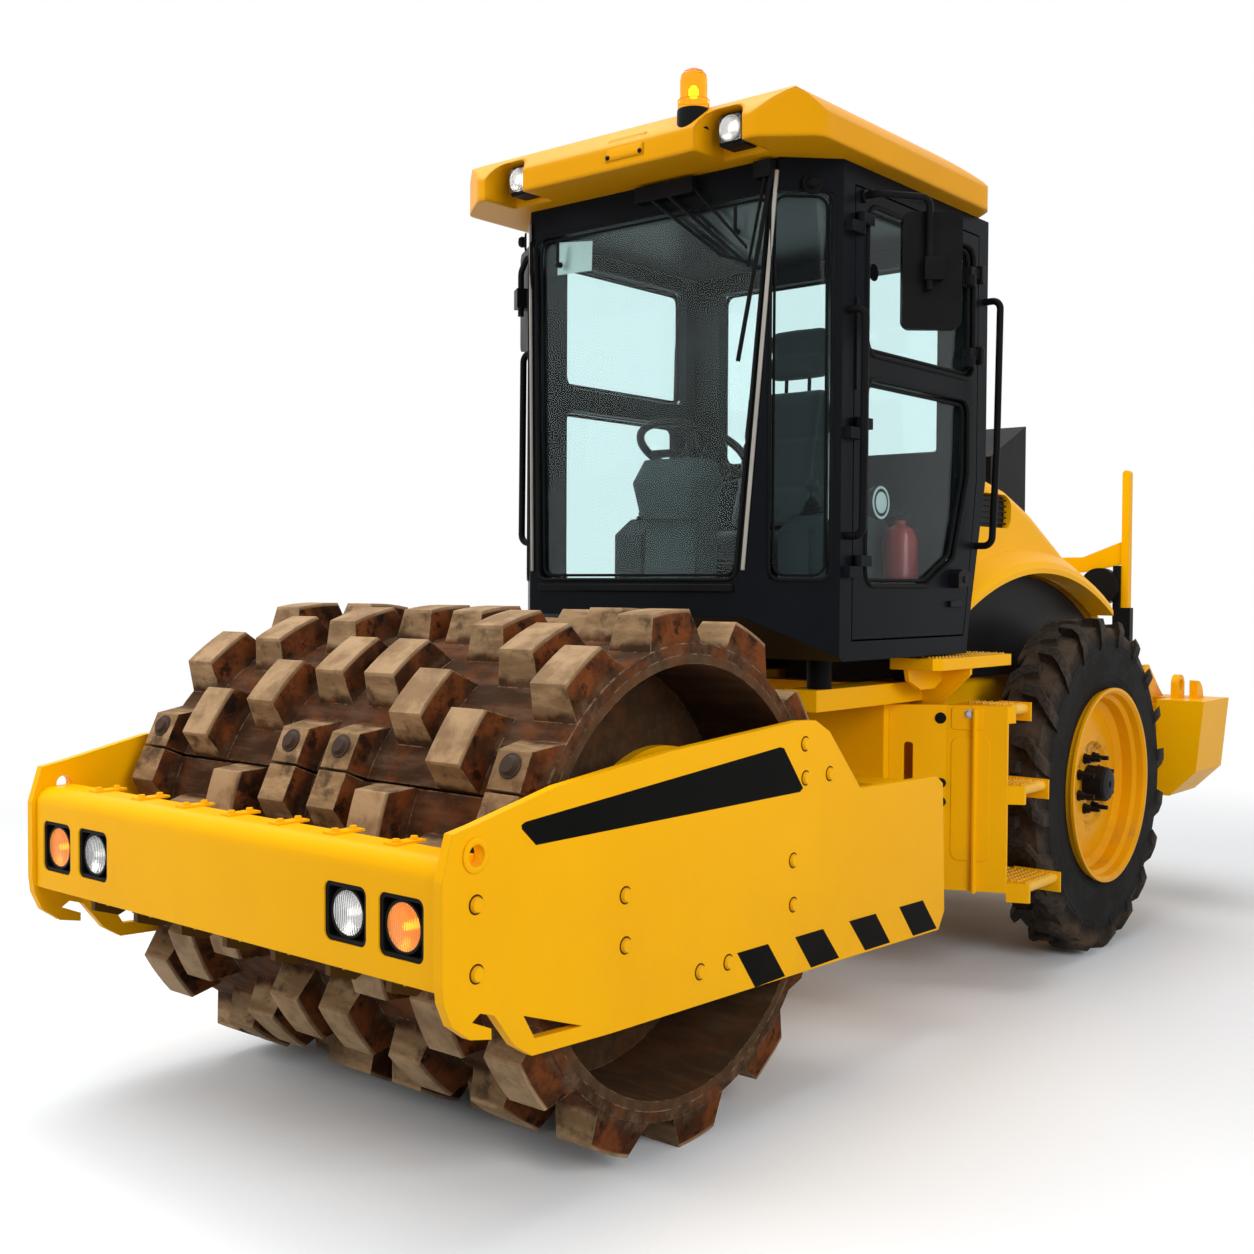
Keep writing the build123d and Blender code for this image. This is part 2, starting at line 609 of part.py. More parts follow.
# Rear lamps on the posts
lamp_x = post_x - 105
lamp_z = 1425.0
lamp_radius = 85.0
rear_lamp = rod_y(lamp_x, lamp_z, lamp_radius, post_y - 40, post_y + 10)
rear_lamp += cuboid(post_x - 50, post_x - post_half, post_y - 12, post_y + 10, 990, 1520)
rear_lamp += cuboid(post_x + post_half, post_x + 30, post_y, post_y + 30, 1060, 1330)
rear_lamp += cuboid(post_x - post_half, post_x + 31, post_y - 12, post_y, 1060, 1330)
rear_lens = rod_y(lamp_x, lamp_z, lamp_radius - 12, post_y + 10, post_y + 26)
rear_lens &= cuboid(lamp_x - lamp_radius, lamp_x + lamp_radius, post_y, post_y + 30, lamp_z - lamp_radius, 1488)
nodes["rear_lamps"] = both_sides(rear_lamp)
nodes["rear_lenses"] = both_sides(rear_lens)

# Access steps: a bent panel in front, treads, and a plate behind
panel_low = 365.0
panel_top = 1010.0
step_wall = 10.0
panel_line = ((beam_out, drum_y + 1565), (600, drum_y + 1680), (790, drum_y + 1762))
outer = [(x, y) for x, y in panel_line]
inner = [(x, y + step_wall) for x, y in reversed(panel_line)]
step_panel = slab_z((*outer, *inner), panel_low, panel_top)
tread_in = 600.0
tread_front = drum_y + 1700
riser_place = 690.0
plate_thin = 8.0
nosing_radius = 17.0
treads = (  # tread bottom, tread top, outer edge, rear edge
    (334, 400, 860, 2050),
    (672, 736, 840, 1985),
    (950, 1010, 800, 1920),
)
steps = step_panel
steps += cuboid(riser_place, riser_place + plate_thin, tread_front, drum_y + 1915, 360, 1000)
steps += cuboid(tread_in, riser_place + 1, drum_y + 1905, drum_y + 1915, 360, 1000)
for z0, z1, reach, back in treads:
    back = drum_y + back
    front = drum_y + 1800
    steps += slab_z(((tread_in, drum_y + 1686), (riser_place, drum_y + 1725), (reach - 24, front), (reach - 24, back),
                     (tread_in, back)), z1 - 12, z1)
    steps += slab_z(((790, drum_y + 1763), (reach, front - 6), (reach, front + plate_thin), (790, drum_y + 1763 + plate_thin)),
                    z0, z1)
    steps += cuboid(riser_place, reach + 6, back - plate_thin, back, z0, z1 + 6)
    steps += rod_y(reach - nosing_radius - 3, z1 - nosing_radius, nosing_radius, front, back)
slot_half = 14.0
hose_slot = cuboid(beam_out + 40, beam_out + 40 + 2 * slot_half, drum_y + 1500, drum_y + 1700, 660, 880)
steps -= fillet(hose_slot.edges().filter_by(Axis.Y), slot_half - 1)
nodes["step_modules"] = both_sides(steps)

# Landings beside the cab
landing_top = cab_floor - 10
landing_in = 510.0
landing = slab_z(((landing_in, drum_y + 1445), (670, drum_y + 1445), (690, drum_y + 1480), (690, drum_y + 2000),
                  (landing_in, drum_y + 2000)), landing_top - 40, landing_top)
leg_half = 8.0
landing_leg = slab_y(((beam_out + 60.3, landing_top - 40), (682, landing_top - 40), (682, landing_top - 62),
                      (570, 1010), (beam_out + 60.3, 1010)), drum_y + 1700 - leg_half, drum_y + 1700 + leg_half)
landing_brace = slab_x(((drum_y + 1450, landing_top - 40), (drum_y + 1460, landing_top - 78),
                        (drum_y + 1540, landing_top - 112), (drum_y + 1640, landing_top - 112),
                        (drum_y + 1700, landing_top - 82), (drum_y + 1960, landing_top - 52),
                        (drum_y + 1960, landing_top - 40)), 560, 576)
nodes["platforms"] = both_sides(landing + landing_leg + landing_brace)


# Cab
def cab_plan(inset, front, nose_half):
    """Plan outline of the cab, with its two corner panes at 45 degrees, inset by a wall."""
    slant = math.sqrt(2) - 1
    nose = nose_half - slant * inset
    corner = drum_y + front + (cab_half - nose_half) + slant * inset
    face_y = drum_y + front + inset
    side = cab_half - inset
    back = drum_y + cab_back - inset
    return ((-nose, face_y), (nose, face_y), (side, corner), (side, back), (-side, back), (-side, corner))


def cab_blank(inset, low, high):
    """The cab's body, inset by a wall, with its slanted foot behind."""
    base = cab_plan(inset, cab_front, cab_nose_half)
    head = cab_plan(inset, cab_front_top, cab_nose_half_top)
    tower = loft([Plane.XY.offset(cab_floor - 100) * make_face(Polyline(base, close=True)),
                  Plane.XY.offset(cab_top) * make_face(Polyline(head, close=True))], ruled=True)
    side_view = slab_x(((drum_y + cab_front - 50, cab_sill_front + low), (drum_y + cab_front + 240, cab_floor + low),
                        (drum_y + 1727 - inset, cab_floor + low), (drum_y + 1740 - inset, 1275),
                        (drum_y + cab_back - inset, 1800), (drum_y + cab_back - inset, high),
                        (drum_y + cab_front - 50, high)), -cab_half - 1, cab_half + 1)
    return tower & side_view


cab = cab_blank(0, 0, cab_top) - cab_blank(cab_wall, cab_wall, cab_top - cab_wall)
glass_layer = cab_blank(glass_depth, -300, cab_top) - cab_blank(glass_depth + glass_wall, -300, cab_top + 1)

window_low = 1440.0
window_top = cab_top - 100
front_window = slab_y(((-cab_nose_half + post_wide * 0.4, window_low), (cab_nose_half - post_wide * 0.4, window_low),
                       (cab_nose_half_top - post_wide * 0.5, window_top),
                       (-cab_nose_half_top + post_wide * 0.5, window_top)), drum_y + cab_front - 60,
                      drum_y + cab_front_top + 60)
door_front = 957.0
door_low = 1250.0
door_high = 2640.0
door_outline = from_drum(((door_front, door_low), (1700, door_low), (1715, 1300), (1790, 1790),
                          (1790, door_high), (door_front, door_high)))
door_hole = slab_x(door_outline, cab_half - cab_wall - 1, cab_half + 1)
side_windows = (
    from_drum(((1040, 2140), (1750, 2140), (1750, 2590), (1040, 2590))),
    from_drum(((1040, 1425), (1430, 1425), (1620, 1515), (1715, 1800), (1715, 2060), (1040, 2060))),
)
rear_window = slab_y(((-480, 1900), (480, 1900), (480, 2580), (-480, 2580)), drum_y + cab_back - 80,
                     drum_y + cab_back + 5)
corner_mid = (cab_nose_half + cab_half) / 2
corner_half = 92.0
corner_window = (Pos(corner_mid + 10, drum_y + cab_front + (cab_half - cab_nose_half) / 2 + 35, (window_low + window_top) / 2)
                 * Rot(0, 0, 45) * Box(2 * corner_half, 140, window_top - window_low))
window_round = 45.0


def side_window(points, x0, x1):
    """A window outline with round corners, given the thickness x0 to x1."""
    return Plane.YZ.offset(x0) * extrude(rounded(points, window_round), x1 - x0, dir=(0, 0, 1))


right_windows = [other_side(side_window(w, cab_half - cab_wall - 2, cab_half + 2)) for w in side_windows]
openings = [front_window, rear_window, corner_window, other_side(corner_window), *right_windows]
panes = []
for opening in openings:
    cab -= opening
    panes.append(glass_layer & opening)
cab -= door_hole
nodes["cab_glass"] = group(*panes)

# Door hinges: a fixed block on the post, and a leaf with a pin on the door
hinge_y = drum_y + door_front + 10
hinge_x = cab_half + 15
hinge_levels = (1480, 1900, 2520)
hinge_half = 14.5
hinge_tall = 34.0
hinge_pin = 7.0
hinge_leaves = []
for z in hinge_levels:
    block = cuboid(cab_half, cab_half + 2 * hinge_half, hinge_y - 70, hinge_y, z - hinge_tall, z)
    block += rod_z(hinge_x, hinge_y, hinge_half, z - hinge_tall, z)
    block -= rod_z(hinge_x, hinge_y, hinge_pin + running_gap, z - hinge_tall - 1, z + 1)
    cab += block
    leaf = cuboid(cab_half, cab_half + 2 * hinge_half, hinge_y, hinge_y + 60, z + 0.5, z + hinge_tall)
    leaf += rod_z(hinge_x, hinge_y, hinge_half, z + 0.5, z + hinge_tall)
    leaf += rod_z(hinge_x, hinge_y, hinge_pin, z - hinge_tall, z + 1)
    hinge_leaves.append(leaf)
nodes["cab_shell"] = cab

door_gap = 6.0
door_small = offset(make_face(Polyline(door_outline, close=True)), -door_gap)
door = Plane.YZ.offset(cab_half - cab_wall) * extrude(door_small, cab_wall)
door_panes = []
for w in side_windows:
    door -= side_window(w, cab_half - cab_wall - 1, cab_half + 1)
    door_panes.append(side_window(w, cab_half - glass_depth - glass_wall, cab_half - glass_depth))
nodes["door_frame"] = door.fuse(*hinge_leaves)
nodes["door_glass"] = group(*door_panes)
latch = slab_x(from_drum(((1590, 1415), (1690, 1425), (1690, 1465), (1620, 1480), (1590, 1465))), cab_half, cab_half + 38)
nodes["door_latch"] = fillet(latch.edges().filter_by(Axis.X), 8)

roof_low = cab_top
roof_high = cab_top + 172
roof_front = drum_y + 545
roof_back = drum_y + 1800
roof_nose = drum_y + 760
roof_tail = drum_y + 1700
roof_shoulder = 64.0
roof_spare = 6.0  # how far the two outlines reach past the plan
side_front = roof_front - roof_spare
side_back = roof_back + roof_spare
roof_base = roof_low - roof_spare
roof_side_view = Plane.YZ.offset(-roof_half - roof_spare) * extrude(make_face([
    Line((side_front, roof_base), (side_front, roof_low + 60)),
    *ThreePointArc((side_front, roof_low + 60), (roof_front + 70, roof_low + 140), (roof_nose, roof_high - 4)).edges(),
    *ThreePointArc((roof_nose, roof_high - 4), (drum_y + 1230, roof_high - 6), (roof_tail, roof_low + 98)).edges(),
    Line((roof_tail, roof_low + 98), (side_back, roof_low + 30)),
    Line((side_back, roof_low + 30), (side_back, roof_base)),
    Line((side_back, roof_base), (side_front, roof_base))]), 2 * roof_half + 2 * roof_spare)
view_half = roof_half + roof_spare
roof_front_view = Plane.XZ.offset(-side_back - 100) * extrude(make_face([
    Line((-view_half, roof_base), (view_half, roof_base)),
    Line((view_half, roof_base), (view_half, roof_low + roof_shoulder)),
    *ThreePointArc((view_half, roof_low + roof_shoulder), (roof_half - 50, roof_low + 132),
                   (roof_half - 160, roof_high + 1)).edges(),
    Line((roof_half - 160, roof_high + 1), (160 - roof_half, roof_high + 1)),
    *ThreePointArc((160 - roof_half, roof_high + 1), (50 - roof_half, roof_low + 132),
                   (-view_half, roof_low + roof_shoulder)).edges(),
    Line((-view_half, roof_low + roof_shoulder), (-view_half, roof_base))]), 1600)
roof_plan = rounded([(x, drum_y + y) for x, y in ((-560, 545), (560, 545), (roof_half, 660), (roof_half, 1720),
                                                  (630, 1800), (-630, 1800), (-roof_half, 1720), (-roof_half, 660))], 60)
roof = Pos(0, 0, roof_low) * extrude(roof_plan, roof_high - roof_low + 20, dir=(0, 0, 1))
roof = (roof & roof_front_view) & roof_side_view
lamp_bay = cuboid(350, 520, roof_front - 1, roof_front + 140, roof_low - 1, roof_low + 118)
lamp_bay = fillet(lamp_bay.edges().filter_by(Axis.Y).group_by(Axis.Z)[-1], 55)
roof = roof - lamp_bay - other_side(lamp_bay)
nodes["cab_roof"] = roof
work_lamp = cuboid(384, 480, roof_front + 78, roof_front + 139, roof_low + 18, roof_low + 112)
work_lamp = fillet(work_lamp.edges().filter_by(Axis.Y), 12)
work_lamp += rod_x(roof_front + 118, roof_low + 65, 9, 375, 489) + cuboid(
    375, 489, roof_front + 112, roof_front + 140, roof_low + 55, roof_low + 75)
nodes["roof_lamps"] = both_sides(work_lamp)
beacon_x = 304.0
beacon_y = drum_y + 600
beacon_seat = 2868.0
beacon_foot = rod_z(beacon_x, beacon_y, 48, roof_low + 90, beacon_seat) - roof
beacon_dome = turned(((0, 0), (0, 41), (62, 41), (76, 38), (87, 30), (93, 19), (95, 0)))
beacon_dome = Pos(beacon_x, beacon_y, beacon_seat - 1) * Rot(0, -90, 0) * beacon_dome
nodes["beacon"] = beacon_foot + beacon_dome

mount_list = []
for x, y in ((460, 1080), (460, 1640)):
    mount_list.append(rod_z(x, drum_y + y, 40, arm_low + 70, cab_floor))
nodes["cab_mounts"] = both_sides(*mount_list)

# Inside the cab
seat_y = drum_y + 1350
seat_base = cuboid(-150, 150, seat_y - 130, seat_y + 170, cab_floor + cab_wall, 1500)
nodes["seat_base"] = seat_base
cushion = cuboid(-240, 240, seat_y - 230, seat_y + 230, 1500, 1610)
backrest = slab_x(((seat_y + 130, 1610), (seat_y + 240, 1610), (seat_y + 340, 2180), (seat_y + 250, 2180)), -230, 230)
headrest = slab_x(((seat_y + 246, 2160), (seat_y + 350, 2160), (seat_y + 362, 2380), (seat_y + 270, 2380)), -130, 130)
nodes["seat"] = cushion + backrest + headrest
pod = slab_x(((drum_y + 915, cab_floor + cab_wall), (drum_y + 1000, cab_floor + cab_wall), (drum_y + 1010, 1700),
              (drum_y + 900, 1700), (drum_y + 870, 1300)), -105, 105)
pod_head = loft([
    Plane.XY.offset(1640) * Pos(0, drum_y + 925) * RectangleRounded(230, 150, 40),
    Plane.XY.offset(1760) * Pos(0, drum_y + 925) * RectangleRounded(290, 180, 50),
    Plane.XY.offset(1835) * Pos(0, drum_y + 935) * RectangleRounded(230, 150, 50)], ruled=True)
pod = pod.fuse(pod_head)
wheel_plane = Plane(origin=(0, drum_y + 1010, 1870), z_dir=(0, 0.5, 1))
wheel_radius = 185.0
grip_radius = 14.0
wheel_spokes = [wheel_plane * Rot(0, 0, turn) * Pos(wheel_radius / 2, 0, 0) * Box(wheel_radius, 32, 12)
                for turn in (90, 210, 330)]
grip = turned([(grip_radius * math.sin(math.radians(45 * turn)), wheel_radius + grip_radius * math.cos(
    math.radians(45 * turn))) for turn in range(8)])
nodes["steering_wheel"] = (wheel_plane * Rot(0, 90, 0) * grip).fuse(wheel_plane * Cylinder(32, 60), *wheel_spokes)
nodes["dash_console"] = pod + wheel_plane * Pos(0, 0, -60.3) * Cylinder(18, 60)
arm_console = slab_x(((seat_y - 260, cab_floor + cab_wall), (seat_y + 260, cab_floor + cab_wall),
                      (seat_y + 260, 1620), (seat_y + 200, 1660), (seat_y - 170, 1660), (seat_y - 260, 1600)), 290, 410)
arm_console = fillet(arm_console.edges().filter_by(Axis.X).group_by(Axis.Z)[-1], 30)
lever = rod_z(350, seat_y - 150, 9, 1650, 1740) + Pos(350, seat_y - 150, 1755) * Sphere(24)
nodes["arm_consoles"] = both_sides(arm_console + lever)

# Mirrors: one folded back on the door, one beside the right post
mirror_high = 360.0
mirror_wide = 185.0
mirror_wall = 34.0
mirror_arm_radius = 11.0
mirror_blank = Box(mirror_wide, mirror_wall, mirror_high)
mirror_blank = fillet(mirror_blank.edges().filter_by(Axis.Y), 28)
mirror_pane = Box(mirror_wide - 24, 4, mirror_high - 24)
mirror_pane = fillet(mirror_pane.edges().filter_by(Axis.Y), 18)
left_arm_x = cab_half + 152
right_arm_x = cab_half + 100
mirrors = (  # name, sideways sign, head X and Y, head's low edge, turn about Z, arm points
    ("left", 1, left_arm_x - 12, 1180, 2215, 40,
     ((cab_half, drum_y + 1005, 2612), (cab_half + 55, drum_y + 1005, 2612), (left_arm_x, drum_y + 1144, 2612),
      (left_arm_x, drum_y + 1144, 2330))),
    ("right", -1, right_arm_x - 8, 990, 2285, 35,
     ((cab_half, drum_y + 925, 2600), (cab_half + 45, drum_y + 925, 2600), (right_arm_x, drum_y + 952, 2560),
      (right_arm_x, drum_y + 952, 2400))),
)
for name, side, x, y, mirror_low, turn, points in mirrors:
    place = Pos(x, drum_y + y, mirror_low + mirror_high / 2) * Rot(0, 0, turn)
    arm = tube(points, mirror_arm_radius, 28)
    ear = place * Pos(0, -mirror_wall / 2 - 14, 0) * Box(60, 44, 70)
    foot = rod_x(points[0][1], points[0][2], 20, cab_half, cab_half + 12)
    head = (place * mirror_blank).fuse(ear, arm, foot)
    pane = place * Pos(0, mirror_wall / 2 + 2, 0) * mirror_pane
    nodes[f"mirror_{name}"] = head if side > 0 else other_side(head)
    nodes[f"mirror_pane_{name}"] = pane if side > 0 else other_side(pane)

# Grab rails
rail_front = tube(((cab_half, drum_y + 925, 2255), (cab_half + 60, drum_y + 925, 2255),
                   (cab_half + 60, drum_y + 918, 1572), (cab_half, drum_y + 918, 1572)), 12, 30)
rail_back = tube(((cab_half, drum_y + 1835, 2417), (cab_half + 60, drum_y + 1835, 2417),
                  (cab_half + 60, drum_y + 1820, 1900), (cab_half + 60, drum_y + 1790, 1563),
                  (cab_half, drum_y + 1790, 1563)), 12, 30)
nodes["hand_rails"] = both_sides(rail_front, rail_back)

# Wipers on the windscreen: a driven pair of rods with its blade, and a single arm beside the corner
screen_low = drum_y + cab_front - 0.1
screen_lean = (cab_front_top - cab_front) / (cab_top - cab_floor + 100)
wiper_off = 22.0


def on_screen(x, z, off=wiper_off):
    """A place in front of the windscreen."""
    return (x, screen_low + (z - cab_floor + 100) * screen_lean - off, z)


wiper_rods = (  # start X and Z, end X and Z, radius
    (10, 2668, 321, 2430, 6.0),
    (82, 2668, 399, 2405, 6.0),
    (198, 2664, 416, 2440, 5.0),
    (321, 2430, 416, 2396, 5.0),
    (500, 2660, 402, 2100, 7.0),
    (478, 2660, 425, 2380, 5.0),
)
rods = []
for x0, z0, x1, z1, radius in wiper_rods:
    a, b = Vector(*on_screen(x0, z0)), Vector(*on_screen(x1, z1))
    rods.append(Plane(origin=(a + b) * 0.5, z_dir=b - a) * Cylinder(radius, (b - a).length + radius))
motor_low = 2640.0
motor_y = on_screen(0, motor_low, 0)[1]
wiper_box = cuboid(-20, 210, motor_y - 34, motor_y, motor_low, motor_low + 50)
wiper_foot = cuboid(440, 500, motor_y - 34, motor_y, motor_low, motor_low + 50)
nodes["wipers"] = wiper_box.fuse(wiper_foot, *rods)

# Steering cylinders
bore_radius = 42.0
rod_radius = 20.0
gland_y = pivot_y + 120
bore_end = gland_y + 260
barrel = rod_y(cylinder_x, cylinder_z, bore_radius, gland_y, bore_end + 20)
barrel += rod_y(cylinder_x, cylinder_z, eye_half, bore_end + 19, barrel_pin_y)
barrel -= rod_y(cylinder_x, cylinder_z, rod_radius + running_gap, gland_y - 1, bore_end)
barrel += rod_z(cylinder_x, barrel_pin_y, 36, cylinder_z - eye_half, cylinder_z + eye_half)
barrel += rod_z(cylinder_x, barrel_pin_y, 20 - running_gap, cylinder_z - eye_half - clevis_wall,
                cylinder_z + eye_half + clevis_wall)
piston_end = gland_y + 125
rod = rod_y(cylinder_x, cylinder_z, rod_radius, rod_pin_y, piston_end)
rod += rod_z(cylinder_x, rod_pin_y, 34, cylinder_z - eye_half, cylinder_z + eye_half)
nodes["barrel_left"] = barrel
nodes["rod_left"] = rod
nodes["barrel_right"] = other_side(barrel)
nodes["rod_right"] = other_side(rod)

os.makedirs("parts", exist_ok=True)
for name, shape in nodes.items():
    export_step(shape, f"parts/{name}.step")
print(len(nodes), "nodes")
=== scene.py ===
# %% [markdown]
# # A padfoot roller, dressed in Blender
# The machine's exact shapes come from a CAD model, in metres, standing on the ground at the origin.
# Its left side faces +X and its drum leads along -Y. This lesson gives every part its finish, adds the
# small things that CAD leaves out, such as bolts, seals and painted stripes, and sews the seat.
# We load the frame first. Nothing added later may make the machine bigger.

import math

import bmesh
import bpy
import numpy as np
from mathutils import Matrix, Vector


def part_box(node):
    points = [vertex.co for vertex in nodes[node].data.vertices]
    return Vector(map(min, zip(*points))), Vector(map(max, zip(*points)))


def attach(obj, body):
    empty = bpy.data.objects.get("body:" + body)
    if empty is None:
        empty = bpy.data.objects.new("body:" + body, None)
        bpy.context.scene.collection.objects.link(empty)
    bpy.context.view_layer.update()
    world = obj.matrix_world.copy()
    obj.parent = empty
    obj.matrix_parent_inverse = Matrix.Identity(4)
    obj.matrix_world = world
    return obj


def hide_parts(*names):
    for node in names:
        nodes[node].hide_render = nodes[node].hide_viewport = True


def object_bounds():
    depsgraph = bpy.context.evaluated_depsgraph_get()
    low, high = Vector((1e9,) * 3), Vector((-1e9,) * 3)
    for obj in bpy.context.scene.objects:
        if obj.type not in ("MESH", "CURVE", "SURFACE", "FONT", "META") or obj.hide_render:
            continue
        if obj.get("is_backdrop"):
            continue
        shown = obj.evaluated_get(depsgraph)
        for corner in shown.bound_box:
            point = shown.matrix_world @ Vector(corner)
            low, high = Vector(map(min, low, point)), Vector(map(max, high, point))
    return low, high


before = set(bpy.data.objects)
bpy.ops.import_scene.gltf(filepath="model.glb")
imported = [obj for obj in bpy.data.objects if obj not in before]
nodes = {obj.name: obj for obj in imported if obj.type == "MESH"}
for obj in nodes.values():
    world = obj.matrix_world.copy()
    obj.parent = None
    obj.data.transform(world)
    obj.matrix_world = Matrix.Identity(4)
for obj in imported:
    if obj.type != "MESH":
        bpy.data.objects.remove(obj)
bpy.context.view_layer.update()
scene = bpy.context.scene

# %% [markdown]
# ## The camera
# The picture was taken from about eye height, ahead of the drum on the machine's left, with a lens a
# little wider than normal. A camera looks along its own -Z, so we first tip it up by 90 degrees less the
# small downward pitch, then turn it about the vertical, and give it a very slight roll.

# %% Camera
eye = Vector((2.942, -4.369, 1.416))
azimuth, pitch, roll = (math.radians(a) for a in (39.77, 1.618, 0.284))
camera_data = bpy.data.cameras.new("camera")
camera = bpy.data.objects.new("camera", camera_data)
scene.collection.objects.link(camera)
camera.matrix_world = (Matrix.Translation(eye) @ Matrix.Rotation(azimuth, 4, "Z")
                       @ Matrix.Rotation(math.radians(90) - pitch, 4, "X") @ Matrix.Rotation(roll, 4, "Z"))
camera_data.sensor_width = 36.0
camera_data.lens = 41.37
scene.camera = camera
print("camera", [round(v, 2) for v in eye], "lens", camera_data.lens)

# %% [markdown]
# ## A small kit for node trees
# Materials and shader groups are built from the same two moves: add a node with its settings, and join
# two sockets. Naming them once keeps every later cell short.

# %% Node helpers
def tune(node, values):
    """Sets a node's unlinked inputs by name."""
    for name, value in values.items():
        node.inputs[name].default_value = value


def add(tree, kind, values=None, **settings):
    """A new node, with its properties and its unlinked inputs set."""
    node = tree.nodes.new(kind)
    for name, value in settings.items():
        setattr(node, name, value)
    tune(node, values or {})
    return node


def join(tree, *pairs):
    """Links sockets, each pair from an output to an input."""
    for start, end in pairs:
        tree.links.new(start, end)


def maths(tree, operation, a, b=None, clamp=False):
    """A Math node on sockets or numbers; gives its output socket."""
    node = add(tree, "ShaderNodeMath", operation=operation, use_clamp=clamp)
    for place, value in enumerate((a, b)):
        if value is None:
            continue
        if isinstance(value, (int, float)):
            node.inputs[place].default_value = value
        else:
            tree.links.new(value, node.inputs[place])
    return node.outputs[0]


def ramp(tree, value, low, high, to_low=0.0, to_high=1.0):
    """A smooth step of a value from low to high."""
    node = add(tree, "ShaderNodeMapRange", {"From Min": low, "From Max": high, "To Min": to_low, "To Max": to_high},
               interpolation_type="SMOOTHSTEP")
    tree.links.new(value, node.inputs["Value"])
    return node.outputs[0]


def blended(tree, mask, a, b, way="MIX"):
    """A colour mix of sockets or RGB tuples by a mask."""
    node = add(tree, "ShaderNodeMix", data_type="RGBA", blend_type=way)
    for name, value in (("Factor", mask), ("A", a), ("B", b)):
        socket = next(s for s in node.inputs if s.name == name and s.enabled)
        if isinstance(value, (int, float)):
            socket.default_value = value
        elif isinstance(value, tuple):
            socket.default_value = (*value, 1.0)
        else:
            tree.links.new(value, socket)
    return next(s for s in node.outputs if s.enabled)


print("node helpers ready")

# %% [markdown]
# ## Shared surface effects
# Real machine paint is never one flat colour: edges rub thin, dust settles low down and on ledges, and
# every surface has a fine grain. Each effect is one shader node group with named inputs. A group only
# puts out masks, heights and normals; the shader itself stays in each material.

# %% Group: worn edge
def shader_group(name, inputs, outputs):
    """A new shader group, with its input node and its output node."""
    tree = bpy.data.node_groups.new(name, "ShaderNodeTree")
    for title, default in inputs:
        socket = tree.interface.new_socket(title, in_out="INPUT", socket_type="NodeSocketFloat")
        socket.default_value = default
    for title, kind in outputs:
        tree.interface.new_socket(title, in_out="OUTPUT", socket_type=kind)
    return tree, tree.nodes.new("NodeGroupInput"), tree.nodes.new("NodeGroupOutput")


worn_edge, group_in, group_out = shader_group(
    "worn edge", [("Radius", 0.004), ("Break up", 40.0), ("Strength", 1.0)],
    [("Mask", "NodeSocketFloat"), ("Normal", "NodeSocketVector")])
bevel = add(worn_edge, "ShaderNodeBevel", samples=4)
shape = add(worn_edge, "ShaderNodeNewGeometry")
facing = add(worn_edge, "ShaderNodeVectorMath", operation="DOT_PRODUCT")
spot = add(worn_edge, "ShaderNodeTexCoord")
noise = add(worn_edge, "ShaderNodeTexNoise", {"Detail": 4.0, "Roughness": 0.7})
join(worn_edge, (group_in.outputs["Radius"], bevel.inputs["Radius"]), (bevel.outputs[0], facing.inputs[0]),
     (shape.outputs["Normal"], facing.inputs[1]), (spot.outputs["Object"], noise.inputs["Vector"]),
     (group_in.outputs["Break up"], noise.inputs["Scale"]))
bend = ramp(worn_edge, maths(worn_edge, "SUBTRACT", 1.0, facing.outputs["Value"]), 0.01, 0.14)
rubbed = ramp(worn_edge, noise.outputs[0], 0.42, 0.62)
mask = maths(worn_edge, "MULTIPLY", maths(worn_edge, "MULTIPLY", bend, rubbed), group_in.outputs["Strength"],
             clamp=True)
join(worn_edge, (mask, group_out.inputs["Mask"]), (bevel.outputs[0], group_out.inputs["Normal"]))
print("group", worn_edge.name)

# %% Group: settled dust
dust, group_in, group_out = shader_group(
    "settled dust", [("Amount", 0.5), ("Scale", 6.0), ("Full below", 0.3), ("None above", 1.2)],
    [("Mask", "NodeSocketFloat")])
spot = add(dust, "ShaderNodeTexCoord")
places = add(dust, "ShaderNodeSeparateXYZ")
tilt = add(dust, "ShaderNodeSeparateXYZ")
noise = add(dust, "ShaderNodeTexNoise", {"Detail": 7.0, "Roughness": 0.65})
fine = add(dust, "ShaderNodeTexNoise", {"Scale": 90.0, "Detail": 3.0})
join(dust, (spot.outputs["Object"], places.inputs[0]), (spot.outputs["Normal"], tilt.inputs[0]),
     (spot.outputs["Object"], noise.inputs["Vector"]), (spot.outputs["Object"], fine.inputs["Vector"]),
     (group_in.outputs["Scale"], noise.inputs["Scale"]))
height = add(dust, "ShaderNodeMapRange", interpolation_type="SMOOTHSTEP")
join(dust, (places.outputs["Z"], height.inputs["Value"]), (group_in.outputs["None above"], height.inputs["From Min"]),
     (group_in.outputs["Full below"], height.inputs["From Max"]))
ledge = ramp(dust, tilt.outputs["Z"], 0.2, 0.95, 0.25, 1.0)
cloud = ramp(dust, noise.outputs[0], 0.38, 0.72)
speck = ramp(dust, fine.outputs[0], 0.3, 0.7, 0.6, 1.0)
mask = maths(dust, "MULTIPLY", maths(dust, "MULTIPLY", cloud, speck), maths(dust, "MULTIPLY", ledge, height.outputs[0]))
mask = maths(dust, "MULTIPLY", mask, group_in.outputs["Amount"], clamp=True)
join(dust, (mask, group_out.inputs["Mask"]))
print("group", dust.name)

